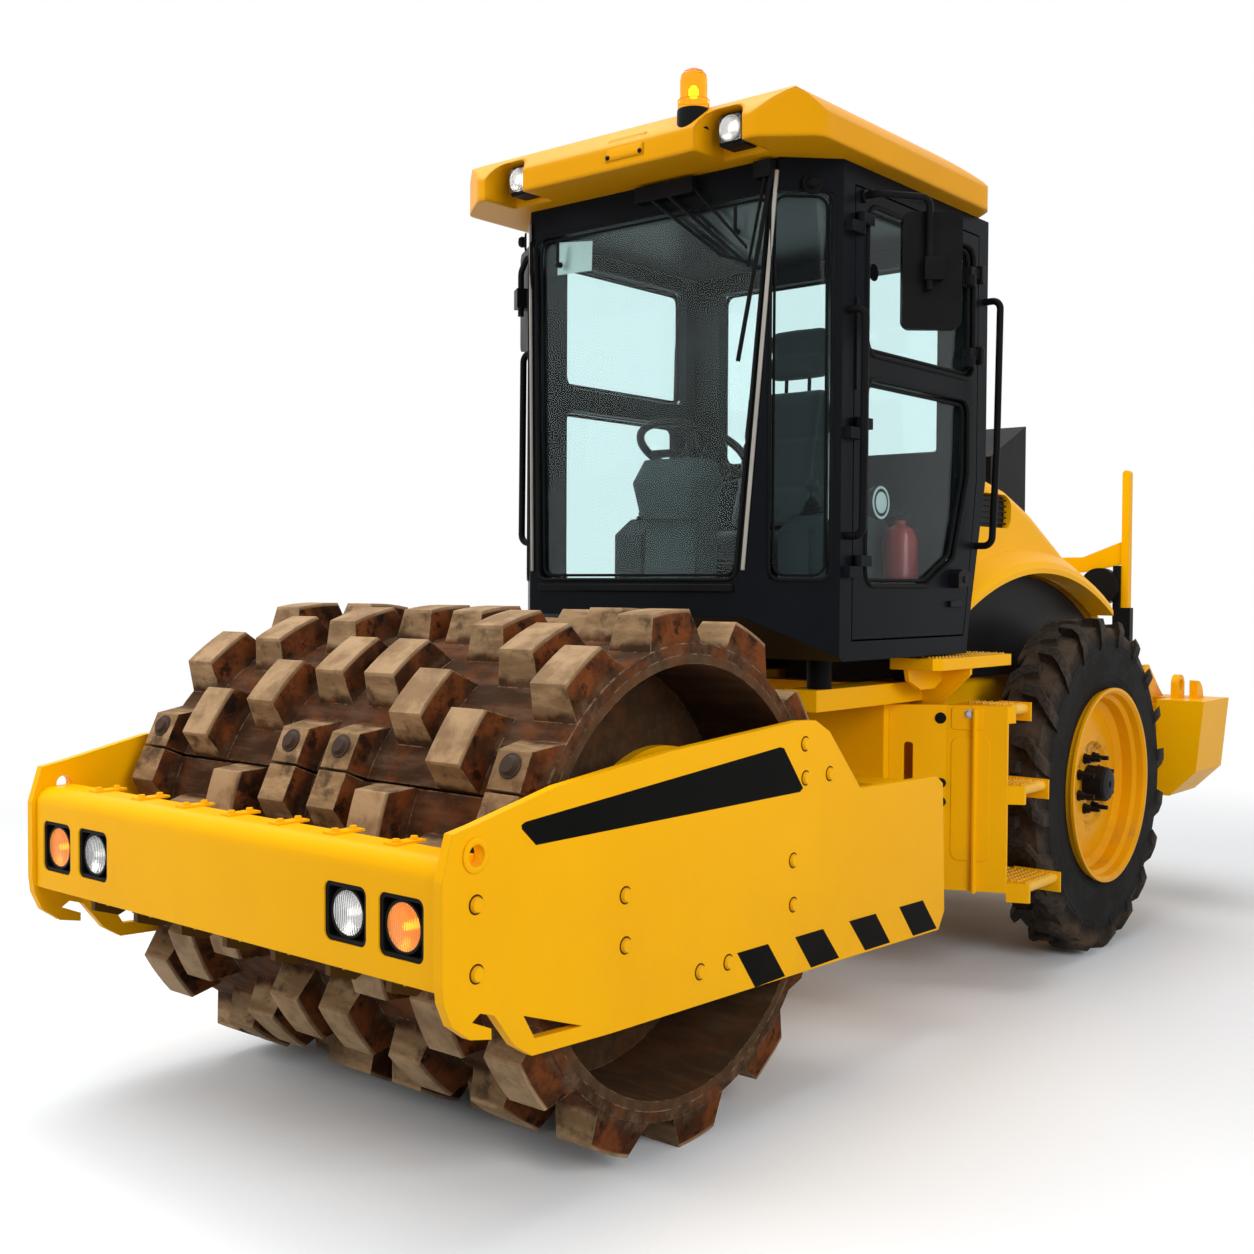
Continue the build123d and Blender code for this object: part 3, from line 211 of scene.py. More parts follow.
# %% Group: fine grain
grain, group_in, group_out = shader_group(
    "fine grain", [("Scale", 300.0), ("Waviness", 3.0)], [("Height", "NodeSocketFloat"), ("Clouds", "NodeSocketFloat")])
spot = add(grain, "ShaderNodeTexCoord")
noise = add(grain, "ShaderNodeTexNoise", {"Detail": 2.0})
clouds = add(grain, "ShaderNodeTexNoise", {"Detail": 3.0, "Roughness": 0.5})
join(grain, (spot.outputs["Object"], noise.inputs["Vector"]), (spot.outputs["Object"], clouds.inputs["Vector"]),
     (group_in.outputs["Scale"], noise.inputs["Scale"]), (group_in.outputs["Waviness"], clouds.inputs["Scale"]),
     (noise.outputs[0], group_out.inputs["Height"]), (clouds.outputs[0], group_out.inputs["Clouds"]))
print("group", grain.name)

# %% Group: ring on a wheel
ring, group_in, group_out = shader_group(
    "ring on a wheel", [("Distance", 0.0), ("Radius", 0.5), ("Width", 0.01)], [("Height", "NodeSocketFloat")])
away = maths(ring, "ABSOLUTE", maths(ring, "SUBTRACT", group_in.outputs["Distance"], group_in.outputs["Radius"]))
band = add(ring, "ShaderNodeMapRange", {"To Min": 1.0, "To Max": 0.0}, interpolation_type="SMOOTHSTEP")
join(ring, (away, band.inputs["Value"]), (group_in.outputs["Width"], band.inputs["From Max"]),
     (band.outputs[0], group_out.inputs["Height"]))
print("group", ring.name)


# %% [markdown]
# ## Paint
# Machine enamel is a glossy film over primer. The base colour drifts a little over large panels, the
# gloss has a faint orange peel, edges rub to a paler tone, and brown site dust lies on ledges low down.
# One function builds such a paint, and each painted finish of the machine calls it with its own values.

# %% Paint
def blank(name):
    """A new material, with its tree and its shader."""
    material = bpy.data.materials.new(name)
    material.use_nodes = True
    tree = material.node_tree
    return material, tree, tree.nodes["Principled BSDF"]


def use(tree, group, **values):
    """A shared group as a node; its inputs are named small, with underscores for spaces."""
    node = tree.nodes.new("ShaderNodeGroup")
    node.node_tree = group
    tune(node, {name.replace("_", " ").capitalize(): value for name, value in values.items()})
    return node


def clad(tree, skin, tone, gloss, height, strength, distance, edges=None):
    """Joins a colour, a roughness and a bump to the shader; the bump lies on softened edges where they are given."""
    bump = add(tree, "ShaderNodeBump", {"Strength": strength, "Distance": distance})
    join(tree, (tone, skin.inputs["Base Color"]), (gloss, skin.inputs["Roughness"]), (height, bump.inputs["Height"]),
         (bump.outputs[0], skin.inputs["Normal"]))
    if edges:
        join(tree, (edges.outputs["Normal"], bump.inputs["Normal"]))


def paint(name, colour, shade, worn, specular, rough=0.32, dusty=0.5, none_above=1.1, edge=0.003, wear=0.5):
    """A painted finish: two close tones, rubbed edges, settled dust and orange peel."""
    earth, peel = (0.16, 0.10, 0.055), 0.02
    material, tree, skin = blank(name)
    surface = use(tree, grain, scale=420.0, waviness=2.2)
    edges = use(tree, worn_edge, radius=edge, break_up=55.0, strength=wear)
    dirt = use(tree, dust, amount=dusty, scale=5.0, full_below=0.35, none_above=none_above)
    tone = blended(tree, ramp(tree, surface.outputs["Clouds"], 0.3, 0.7), colour, shade)
    tone = blended(tree, edges.outputs["Mask"], tone, worn)
    tone = blended(tree, dirt.outputs["Mask"], tone, earth)
    gloss = ramp(tree, dirt.outputs["Mask"], 0.0, 0.5, rough, 0.85)
    clad(tree, skin, tone, gloss, surface.outputs["Height"], peel, 0.002, edges)
    tune(skin, {"Specular IOR Level": specular})
    return material


yellow = paint("yellow enamel", (0.91, 0.440, 0.0006), (0.88, 0.415, 0.0006), (0.88, 0.50, 0.05), specular=0.06,
               rough=0.34, dusty=0.32, none_above=0.95)
wheel_yellow = paint("yellow wheel enamel", (0.85, 0.375, 0.0006), (0.76, 0.320, 0.0006), (0.72, 0.39, 0.04),
                     specular=0.08, dusty=0.55, none_above=1.4)
roof_yellow = paint("roof enamel", (0.66, 0.290, 0.0012), (0.62, 0.268, 0.0012), (0.74, 0.38, 0.03), specular=0.08,
                    rough=0.36, dusty=0.1, none_above=5.0, edge=0.022, wear=0.12)
charcoal = paint("charcoal cab paint", (0.0046, 0.0057, 0.0074), (0.0062, 0.0076, 0.0095), (0.045, 0.050, 0.056),
                 specular=0.035, rough=0.34, dusty=0.12, none_above=1.6, wear=0.30)
black_paint = paint("black paint", (0.0055, 0.0055, 0.0062), (0.0085, 0.0085, 0.0092), (0.05, 0.05, 0.05),
                    specular=0.04, rough=0.36, dusty=0.30, none_above=1.5, wear=0.3)
stripe_black = paint("stripe black", (0.0035, 0.0033, 0.0030), (0.0048, 0.0045, 0.0040), (0.02, 0.02, 0.02),
                     specular=0.02, rough=0.42, dusty=0.10, none_above=0.9, wear=0.1)
print("paints:", yellow.name, roof_yellow.name, charcoal.name)

# %% [markdown]
# ## Rusty drum steel
# The padded shell works in earth all day. The pads' tips and leading faces rub down to a tan, almost
# sandy metal, their flanks keep orange rust with nearly black patches, partly scale and partly painted
# shade, and the shell between them is a brown grey. Inside the drum the whole finish is darkened as
# painted shade. The mask for "how far out" is the distance from the drum's axle, and the mask for "flank"
# is how much the surface looks along the axle, so both stay right while the drum turns.

# %% Drum steel
drum_axle = Vector((0.0, -1.5, 0.68))
shell_radius, tip_radius = 0.595, 0.68


def distance_from_axle(tree, axle):
    """The distance from an axle along X, as a socket, and the coordinates it is measured on."""
    spot = add(tree, "ShaderNodeTexCoord")
    away = add(tree, "ShaderNodeVectorMath", operation="SUBTRACT")
    flat = add(tree, "ShaderNodeVectorMath", operation="MULTIPLY")
    size = add(tree, "ShaderNodeVectorMath", operation="LENGTH")
    away.inputs[1].default_value = axle
    flat.inputs[1].default_value = (0.0, 1.0, 1.0)
    join(tree, (spot.outputs["Object"], away.inputs[0]), (away.outputs[0], flat.inputs[0]),
         (flat.outputs[0], size.inputs[0]))
    return size.outputs["Value"], spot


def patches(tree, spot, scale, low, high, detail=8.0, rough=0.65, stretch=(1, 1, 1)):
    """A noise mask with its own scale and contrast, stretched along the axes."""
    turn = add(tree, "ShaderNodeMapping")
    turn.inputs["Scale"].default_value = stretch
    noise = add(tree, "ShaderNodeTexNoise", {"Scale": scale, "Detail": detail, "Roughness": rough})
    join(tree, (spot.outputs["Object"], turn.inputs["Vector"]), (turn.outputs[0], noise.inputs["Vector"]))
    return ramp(tree, noise.outputs[0], low, high)


def pitted(tree, spot, scale, detail, rough=0.5):
    """Plain noise on the object's own coordinates, for a bump."""
    pits = add(tree, "ShaderNodeTexNoise", {"Scale": scale, "Detail": detail, "Roughness": rough})
    join(tree, (spot.outputs["Object"], pits.inputs["Vector"]))
    return pits.outputs[0]


def drum_finish(name, inner):
    """Rust, dark scale and rubbed metal by the distance from the drum's axle; flanks darker with painted shade, and
    where inner is set, painted shade darkens the whole finish.
    """
    material, tree, skin = blank(name)
    radius, spot = distance_from_axle(tree, drum_axle)
    side = add(tree, "ShaderNodeSeparateXYZ")
    join(tree, (spot.outputs["Normal"], side.inputs[0]))
    flank = ramp(tree, maths(tree, "ABSOLUTE", side.outputs["X"]), 0.35, 0.75)
    blotch = patches(tree, spot, 9.0, 0.40, 0.62)
    dark = patches(tree, spot, 16.0, 0.52, 0.62, detail=10.0)
    streak = patches(tree, spot, 22.0, 0.40, 0.70, stretch=(0.25, 1, 1))
    rust = blended(tree, blotch, (0.046, 0.0175, 0.0075), (0.150, 0.043, 0.0125))
    shell = blended(tree, streak, (0.044, 0.0220, 0.0115), (0.120, 0.066, 0.038))
    shell = blended(tree, maths(tree, "MULTIPLY", blotch, 0.55), shell, rust)
    metal = blended(tree, streak, (0.200, 0.120, 0.060), (0.370, 0.240, 0.128))
    metal = blended(tree, maths(tree, "MULTIPLY", patches(tree, spot, 13.0, 0.50, 0.66, detail=9.0), 0.75), metal,
                    (0.040, 0.026, 0.015))
    # Flank faces: orange rust with nearly black patches, partly rust scale and partly painted shade on the pads' sides.
    flank_rust_and_shade = blended(tree, maths(tree, "MULTIPLY", dark, 0.85), rust, (0.009, 0.0062, 0.0045))
    pad = blended(tree, flank, metal, flank_rust_and_shade)
    out = ramp(tree, maths(tree, "ADD", radius, maths(tree, "MULTIPLY", blotch, 0.012)), shell_radius + 0.012,
               shell_radius + 0.034)
    tone = blended(tree, out, shell, pad)
    tips = maths(tree, "MULTIPLY", ramp(tree, radius, tip_radius - 0.012, tip_radius - 0.004), 0.85)
    tone = blended(tree, tips, tone, blended(tree, blotch, (0.40, 0.262, 0.142), (0.23, 0.140, 0.072)))
    edges = use(tree, worn_edge, radius=0.0045, break_up=30.0, strength=0.9)
    tone = blended(tree, edges.outputs["Mask"], tone, (0.46, 0.320, 0.190))
    # Painted shade: the drum's inside is darkened towards brown black, as the shade in its hollow.
    if inner:
        tone = blended(tree, 0.45, tone, (0.085, 0.050, 0.025))
    gloss = ramp(tree, tips, 0.0, 1.0, 0.82, 0.6)
    clad(tree, skin, tone, gloss, pitted(tree, spot, 70.0, 9.0, 0.7), 0.45, 0.004, edges)
    tune(skin, {"Specular IOR Level": 0.06})
    return material


pad_steel = drum_finish("padded drum steel", inner=False)
core_steel = drum_finish("drum core steel with painted shade", inner=True)
print("drum finishes:", pad_steel.name, core_steel.name)

# %% [markdown]
# ## Tyres
# Tractor-pattern rubber is dusty brown in the grooves and on the lugs' flanks and nearly black on the
# sidewall, where thin moulded rings run round the bead. The distance from the axle drives both.

# %% Tyre rubber
rear_axle = Vector((0.0, 1.16, 0.65))
tyre_rubber, tree, skin = blank("tyre rubber")
radius, spot = distance_from_axle(tree, rear_axle)
groove = maths(tree, "MULTIPLY", ramp(tree, radius, 0.560, 0.610), ramp(tree, radius, 0.640, 0.618))
cloud = patches(tree, spot, 7.0, 0.36, 0.66)
speck = patches(tree, spot, 60.0, 0.35, 0.65, detail=4.0)
tread = ramp(tree, radius, 0.545, 0.60)
tone = blended(tree, cloud, (0.011, 0.0105, 0.0102), (0.018, 0.0165, 0.0155))
tone = blended(tree, maths(tree, "MULTIPLY", tread, 0.6), tone,
               blended(tree, speck, (0.026, 0.020, 0.0155), (0.062, 0.046, 0.034)))
tone = blended(tree, maths(tree, "MULTIPLY", groove, maths(tree, "MULTIPLY", cloud, 0.8)), tone, (0.095, 0.064, 0.042))
edges = use(tree, worn_edge, radius=0.006, break_up=40.0, strength=0.55)
tone = blended(tree, edges.outputs["Mask"], tone, (0.16, 0.115, 0.082))
rise = maths(tree, "MULTIPLY", pitted(tree, spot, 160.0, 5.0), 0.25)
moulded_rings = ((0.405, 0.006), (0.425, 0.004), (0.462, 0.005), (0.532, 0.007), (0.552, 0.004))
for ring_radius, width in moulded_rings:
    line = use(tree, ring, radius=ring_radius, width=width)
    join(tree, (radius, line.inputs["Distance"]))
    rise = maths(tree, "ADD", rise, line.outputs[0])
clad(tree, skin, tone, ramp(tree, cloud, 0.0, 1.0, 0.62, 0.85), rise, 0.6, 0.003, edges)
tune(skin, {"Specular IOR Level": 0.05})
print("finish:", tyre_rubber.name)

# %% [markdown]
# ## Plain finishes
# Moulded plastic, rubber, cloth, bare steel and cast iron differ in gloss, in the size of their grain
# and in how metallic they are. One function takes those as values.

# %% Plastics, rubber and metals
def plain(name, colour, shade, rough, grain_size, strength, metallic=0.0, specular=0.4, worn=None):
    """An unpainted finish: two close tones, a fine grain, and rubbed edges where a worn tone is given."""
    material, tree, skin = blank(name)
    surface = use(tree, grain, scale=grain_size, waviness=6.0)
    edges = use(tree, worn_edge, radius=0.003, break_up=60.0, strength=0.5 if worn else 0.0)
    tone = blended(tree, ramp(tree, surface.outputs["Clouds"], 0.3, 0.7), colour, shade)
    tone = blended(tree, edges.outputs["Mask"], tone, worn or colour)
    gloss = ramp(tree, surface.outputs["Clouds"], 0.3, 0.7, rough - 0.05, rough + 0.05)
    clad(tree, skin, tone, gloss, surface.outputs["Height"], strength, 0.001, edges)
    tune(skin, {"Metallic": metallic, "Specular IOR Level": specular})
    return material


plastic = plain("black moulded plastic", (0.006, 0.006, 0.0065), (0.009, 0.009, 0.0095), 0.36, 500.0, 0.2,
                specular=0.045, worn=(0.04, 0.04, 0.04))
inner_plastic = plain("grey cab plastic", (0.036, 0.043, 0.046), (0.047, 0.054, 0.057), 0.6, 500.0, 0.25, specular=0.06)
rubber = plain("black rubber", (0.006, 0.006, 0.0062), (0.009, 0.009, 0.009), 0.5, 260.0, 0.15, specular=0.04)
chrome = plain("hard chrome", (0.75, 0.76, 0.77), (0.70, 0.71, 0.72), 0.16, 200.0, 0.02, metallic=1.0)
bare_steel = plain("bare steel", (0.50, 0.49, 0.47), (0.40, 0.39, 0.37), 0.35, 200.0, 0.1, metallic=1.0)
cast_iron = plain("painted casting", (0.035, 0.037, 0.038), (0.05, 0.05, 0.05), 0.6, 120.0, 0.5, specular=0.3,
                  worn=(0.10, 0.09, 0.08))
clamp_iron = plain("clamp bolt iron", (0.055, 0.034, 0.024), (0.035, 0.024, 0.018), 0.7, 90.0, 0.5, specular=0.15,
                   worn=(0.22, 0.15, 0.10))
pale_metal = plain("pale corner strip", (0.36, 0.34, 0.30), (0.30, 0.28, 0.245), 0.35, 200.0, 0.05, metallic=0.5)
red_paint = plain("red paint", (0.25, 0.006, 0.008), (0.20, 0.005, 0.006), 0.35, 300.0, 0.05)
label_white = plain("blank label", (0.60, 0.62, 0.60), (0.55, 0.57, 0.56), 0.5, 200.0, 0.02)
lamp_silver = plain("lamp reflector", (0.80, 0.80, 0.79), (0.74, 0.74, 0.73), 0.22, 60.0, 0.05, metallic=1.0)
mirror_silver = plain("mirror silver", (0.86, 0.88, 0.88), (0.85, 0.87, 0.87), 0.06, 30.0, 0.0, metallic=1.0)
# Partly a rust stain, partly painted shadow in the gap round each bolt head.
rust_and_shadow_ring = plain("rust stain and painted shadow round a bolt", (0.075, 0.035, 0.006), (0.040, 0.020, 0.005), 0.8, 120.0, 0.3,
                  specular=0.1)
worn_yellow = plain("yellow rubbed by boots", (0.86, 0.50, 0.05), (0.78, 0.40, 0.01), 0.38, 90.0, 0.25,
                    worn=(0.80, 0.62, 0.34))


def bulb_glass(name, colour, shade, glow):
    """A small lit bulb: frosted glass that glows a little."""
    material, tree, skin = blank(name)
    surface = use(tree, grain, scale=200.0, waviness=20.0)
    tone = blended(tree, surface.outputs["Clouds"], colour, shade)
    join(tree, (tone, skin.inputs["Base Color"]), (tone, skin.inputs["Emission Color"]))
    tune(skin, {"Emission Strength": glow, "Roughness": 0.2})
    return material


white_glow = bulb_glass("white bulb", (0.95, 0.93, 0.88), (0.90, 0.88, 0.84), 0.8)
amber_glow = bulb_glass("amber bulb", (1.0, 0.60, 0.12), (1.0, 0.52, 0.08), 3.0)
print("plain finishes:", plastic.name, rubber.name, chrome.name, cast_iron.name)


# %% [markdown]
# ## Stains
# Some marks belong to one place only: the scraper tines are bare and brown where they reach the drum, and
# grease and rust weep from each hub over its disc. A stain adds one more tone to a finished material.

# %% Stains
def stained(material, colour, mask):
    """Adds one more tone to a finish, where a function that builds a mask says so."""
    tree = material.node_tree
    socket = tree.nodes["Principled BSDF"].inputs["Base Color"]
    before = socket.links[0].from_socket
    join(tree, (blended(tree, mask(tree), before, colour), socket))


def low_on_tines(tree):
    """A ragged line across the tines, bare below it."""
    spot = add(tree, "ShaderNodeTexCoord")
    places = add(tree, "ShaderNodeSeparateXYZ")
    join(tree, (spot.outputs["Object"], places.inputs[0]))
    ragged = maths(tree, "MULTIPLY", patches(tree, spot, 30.0, 0.3, 0.7), 0.03)
    return maths(tree, "MULTIPLY", ramp(tree, maths(tree, "ADD", places.outputs["Z"], ragged), 0.625, 0.585), 0.92)


def round_the_hub(tree):
    """Patches that fade away from the hub."""
    radius, spot = distance_from_axle(tree, rear_axle)
    weep = patches(tree, spot, 15.0, 0.50, 0.64, detail=9.0)
    return maths(tree, "MULTIPLY", maths(tree, "MULTIPLY", ramp(tree, radius, 0.215, 0.130), weep), 0.8)


scraper_yellow = paint("scraper enamel", (0.86, 0.40, 0.0006), (0.78, 0.35, 0.0006), (0.80, 0.42, 0.04), specular=0.06,
                       rough=0.4, dusty=0.6, none_above=1.0)
stained(scraper_yellow, (0.040, 0.023, 0.012), low_on_tines)
stained(wheel_yellow, (0.075, 0.042, 0.014), round_the_hub)
print("stained:", scraper_yellow.name, wheel_yellow.name)

# %% [markdown]
# ## Glass
# Cab glass is tinted grey green. A real pane refracts, but behind refracting glass a renderer finds no
# lamps, and the cab would go black. So each pane is a Principled glass for what the eye and reflections
# see, and plain tinted clear for the light that only passes through to the inside.

# %% Glass and lenses
def mixed(tree, mask, one, two):
    """Makes the material's surface one shader that turns to another by a mask."""
    mix = add(tree, "ShaderNodeMixShader")
    join(tree, (mask, mix.inputs[0]), (one.outputs[0], mix.inputs[1]), (two.outputs[0], mix.inputs[2]),
         (mix.outputs[0], tree.nodes["Material Output"].inputs["Surface"]))


def glass(name, colour, through, rough=0.0, ior=1.45, ribs=0.0, glow=0.0):
    """Glass to the eye, and clear with a tint of its own to light on its way through."""
    material, tree, skin = blank(name)
    surface = use(tree, grain, scale=14.0, waviness=1.2)
    tone = blended(tree, surface.outputs["Clouds"], colour, tuple(c * 0.96 for c in colour))
    join(tree, (tone, skin.inputs["Base Color"]))
    tune(skin, {"Transmission Weight": 1.0, "Roughness": rough, "IOR": ior})
    if ribs:
        spot = add(tree, "ShaderNodeTexCoord")
        wave = add(tree, "ShaderNodeTexWave", {"Scale": 45.0, "Distortion": 0.0}, bands_direction="X")
        bump = add(tree, "ShaderNodeBump", {"Strength": ribs, "Distance": 0.002})
        join(tree, (spot.outputs["Object"], wave.inputs["Vector"]), (wave.outputs["Fac"], bump.inputs["Height"]),
             (bump.outputs[0], skin.inputs["Normal"]))
    if glow:
        join(tree, (tone, skin.inputs["Emission Color"]))
        tune(skin, {"Emission Strength": glow})
    path = add(tree, "ShaderNodeLightPath")
    clear = add(tree, "ShaderNodeBsdfTransparent", {"Color": (*through, 1.0)})
    passing = maths(tree, "MAXIMUM", path.outputs["Is Shadow Ray"], path.outputs["Is Diffuse Ray"])
    mixed(tree, passing, skin, clear)
    return material


cab_tint = glass("tinted cab glass", (0.795, 0.935, 0.935), through=(0.80, 0.90, 0.90), ior=1.15)
clear_lens = glass("clear ribbed lens", (0.93, 0.93, 0.92), through=(0.95, 0.95, 0.95), ribs=0.3)
amber_lens = glass("amber lens", (1.0, 0.42, 0.05), through=(1.0, 0.45, 0.1), rough=0.08, ribs=0.25, glow=0.12)
beacon_amber = glass("beacon amber", (0.93, 0.40, 0.012), through=(1.0, 0.45, 0.1), rough=0.05, ior=1.16, ribs=0.2,
                     glow=0.05)
red_lens = glass("red lens", (0.85, 0.03, 0.02), through=(0.9, 0.1, 0.08), rough=0.1, ribs=0.25, glow=0.08)
print("glass:", cab_tint.name, clear_lens.name, amber_lens.name, red_lens.name)

# %% [markdown]
# ## Dressing the CAD nodes
# The CAD meshes keep their shapes and only get a material. A table from finish to nodes reads like a
# paint shop's list.

# %% Materials on the CAD nodes
finishes = {
    yellow: ("rear_frame", "counterweight", "rear_guard", "step_modules", "platforms", "hood", "side_plate_left",
             "side_plate_right", "front_beam", "rear_crossmember", "hose_guard", "drum_supports",
             "support_posts"),
    scraper_yellow: ("scrapers",),
    wheel_yellow: ("rim_left", "rim_right"),
    roof_yellow: ("cab_roof",),
    charcoal: ("cab_shell", "door_frame"),
    black_paint: ("bay_panels", "rear_axle", "hand_rails", "barrel_left", "barrel_right", "seat_base"),
    plastic: ("lamp_housings", "rear_lamps", "mirror_left", "mirror_right", "wipers", "hood_grilles", "roof_lamps",
              "door_latch", "snorkel", "steering_wheel"),
    inner_plastic: ("dash_console", "arm_consoles"),
    pad_steel: ("pad_shell_front", "pad_shell_rear"),
    core_steel: ("drum_shell",),
    tyre_rubber: ("tyre_left", "tyre_right"),
    rubber: ("buffers", "cab_mounts"),
    cab_tint: ("cab_glass", "door_glass"),
    clear_lens: ("head_lenses",),
    amber_lens: ("turn_lenses",),
    beacon_amber: ("beacon",),
    red_lens: ("rear_lenses",),
    mirror_silver: ("mirror_pane_left", "mirror_pane_right"),
    chrome: ("rod_left", "rod_right"),
    bare_steel: ("centre_pin",),
    cast_iron: ("engine_block",),
}
for material, names in finishes.items():
    for name in names:
        slots = nodes[name].data.materials
        slots.clear()
        slots.append(material)
print("dressed", sum(len(names) for names in finishes.values()), "of", len(nodes), "nodes")

# %% [markdown]
# ## Fasteners on points
# Bolt heads repeat all over a machine, so one Geometry Nodes tree makes them: it takes a mesh of loose
# points, each with a "facing" vector, and puts a head on a collar there, turned to face that way. Its
# inputs are named sizes, and the result becomes a plain mesh that rides with one body.

# %% Fastener tree
def new_tree(name, sockets):
    """A new Geometry Nodes tree that takes and gives a mesh, with its input node and its output node."""
    tree = bpy.data.node_groups.new(name, "GeometryNodeTree")
    tree.interface.new_socket("Geometry", in_out="INPUT", socket_type="NodeSocketGeometry")
    tree.interface.new_socket("Geometry", in_out="OUTPUT", socket_type="NodeSocketGeometry")
    for title, kind in sockets:
        tree.interface.new_socket(title, in_out="INPUT", socket_type=kind)
    return tree, tree.nodes.new("NodeGroupInput"), tree.nodes.new("NodeGroupOutput")


fastener_sizes = ("Head radius", "Head top radius", "Head height", "Collar radius", "Collar height")
fasteners, tree_in, tree_out = new_tree("fasteners on points", [
    *((title, "NodeSocketFloat") for title in fastener_sizes),
    ("Sides", "NodeSocketInt"), ("Finish", "NodeSocketMaterial")])
head = add(fasteners, "GeometryNodeMeshCone")
collar = add(fasteners, "GeometryNodeMeshCylinder", {"Vertices": 20})
lift = add(fasteners, "GeometryNodeTransform")
half = add(fasteners, "ShaderNodeMath", operation="DIVIDE")
half.inputs[1].default_value = 2.0
rise = add(fasteners, "ShaderNodeCombineXYZ")
head_up = add(fasteners, "GeometryNodeTransform")
head_rise = add(fasteners, "ShaderNodeCombineXYZ")
parts = add(fasteners, "GeometryNodeJoinGeometry")
facing = add(fasteners, "GeometryNodeInputNamedAttribute", {"Name": "facing"}, data_type="FLOAT_VECTOR")
align = add(fasteners, "FunctionNodeAlignRotationToVector", axis="Z")
place = add(fasteners, "GeometryNodeInstanceOnPoints")
real = add(fasteners, "GeometryNodeRealizeInstances")
finish = add(fasteners, "GeometryNodeSetMaterial")
flat = add(fasteners, "GeometryNodeSetShadeSmooth", {"Shade Smooth": False})
sizes = tree_in.outputs
join(fasteners, (sizes["Head radius"], head.inputs["Radius Bottom"]),
     (sizes["Head top radius"], head.inputs["Radius Top"]),
     (sizes["Head height"], head.inputs["Depth"]), (sizes["Sides"], head.inputs["Vertices"]),
     (sizes["Collar radius"], collar.inputs["Radius"]), (sizes["Collar height"], collar.inputs["Depth"]),
     (sizes["Collar height"], half.inputs[0]), (half.outputs[0], rise.inputs["Z"]),
     (collar.outputs["Mesh"], lift.inputs["Geometry"]), (rise.outputs[0], lift.inputs["Translation"]),
     (sizes["Collar height"], head_rise.inputs["Z"]), (head.outputs["Mesh"], head_up.inputs["Geometry"]),
     (head_rise.outputs[0], head_up.inputs["Translation"]),
     (head_up.outputs[0], parts.inputs[0]), (lift.outputs[0], parts.inputs[0]),
     (sizes["Geometry"], place.inputs["Points"]), (parts.outputs[0], place.inputs["Instance"]),
     (facing.outputs[0], align.inputs["Vector"]), (align.outputs[0], place.inputs["Rotation"]),
     (place.outputs[0], real.inputs[0]), (real.outputs[0], flat.inputs["Geometry"]),
     (flat.outputs[0], finish.inputs["Geometry"]), (sizes["Finish"], finish.inputs["Material"]),
     (finish.outputs[0], tree_out.inputs[0]))
print("tree", fasteners.name, "inputs", fastener_sizes)


# %% Growing a plain mesh from a tree
def grow(name, mesh, tree, values, body):
    """Runs a Geometry Nodes tree on a mesh and keeps the result as a plain mesh that rides with a body."""
    seed = bpy.data.objects.new(name + "_seed", mesh)
    scene.collection.objects.link(seed)
    modifier = seed.modifiers.new("tree", "NODES")
    modifier.node_group = tree
    by_name = {item.name: item.identifier for item in tree.interface.items_tree if item.in_out == "INPUT"}
    for title, value in values.items():
        modifier[by_name[title]] = value
    graph = bpy.context.evaluated_depsgraph_get()
    result = bpy.data.meshes.new_from_object(seed.evaluated_get(graph))
    seed.modifiers.remove(modifier)
    bpy.data.objects.remove(seed)
    piece = bpy.data.objects.new(name, result)
    scene.collection.objects.link(piece)
    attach(piece, body)
    print(name, "faces", len(result.polygons))


def bolts(name, points, body, slot, finish, head, height, collar, top=None, collar_height=0.002, sides=24):
    """Fasteners at (place, facing) pairs."""
    mesh = bpy.data.meshes.new(name)
    mesh.from_pydata([p for p, _ in points], [], [])
    way = mesh.attributes.new("facing", "FLOAT_VECTOR", "POINT")
    way.data.foreach_set("vector", [c for _, f in points for c in f])
    values = dict(zip(fastener_sizes, (head, top or head * 0.86, height, collar, collar_height)))
    grow(name, mesh, fasteners, {**values, "Sides": sides, "Finish": finish}, body)


def both(points):
    """Points and their mirror images across the machine's middle plane."""
    flip = Vector((-1, 1, 1))
    return points + [(tuple(Vector(p) * flip), tuple(Vector(f) * flip)) for p, f in points]


# %% [markdown]
# ## Bolts of the drum frame
# The side plates carry large round heads set in collars, each on a thin dark ring that is partly rust
# stain and partly painted shadow in the gap, the front beam has two small heads on each
# strap, and each scraper tine is held from below. Their places are measured from the drum's axle.

# %% Drum frame bolts
plate_out = 0.825
plate_bolts = ((-0.805, 0.761), (-0.803, 0.617), (-0.326, 0.703), (-0.325, 0.586), (0.377, 0.683), (0.379, 0.563),
               (-0.037, 0.466), (0.082, 0.466), (0.432, 0.992), (0.435, 0.899), (0.558, 0.899))
points = [((plate_out - 0.0005, y + drum_axle.y, z), (1, 0, 0)) for y, z in plate_bolts]
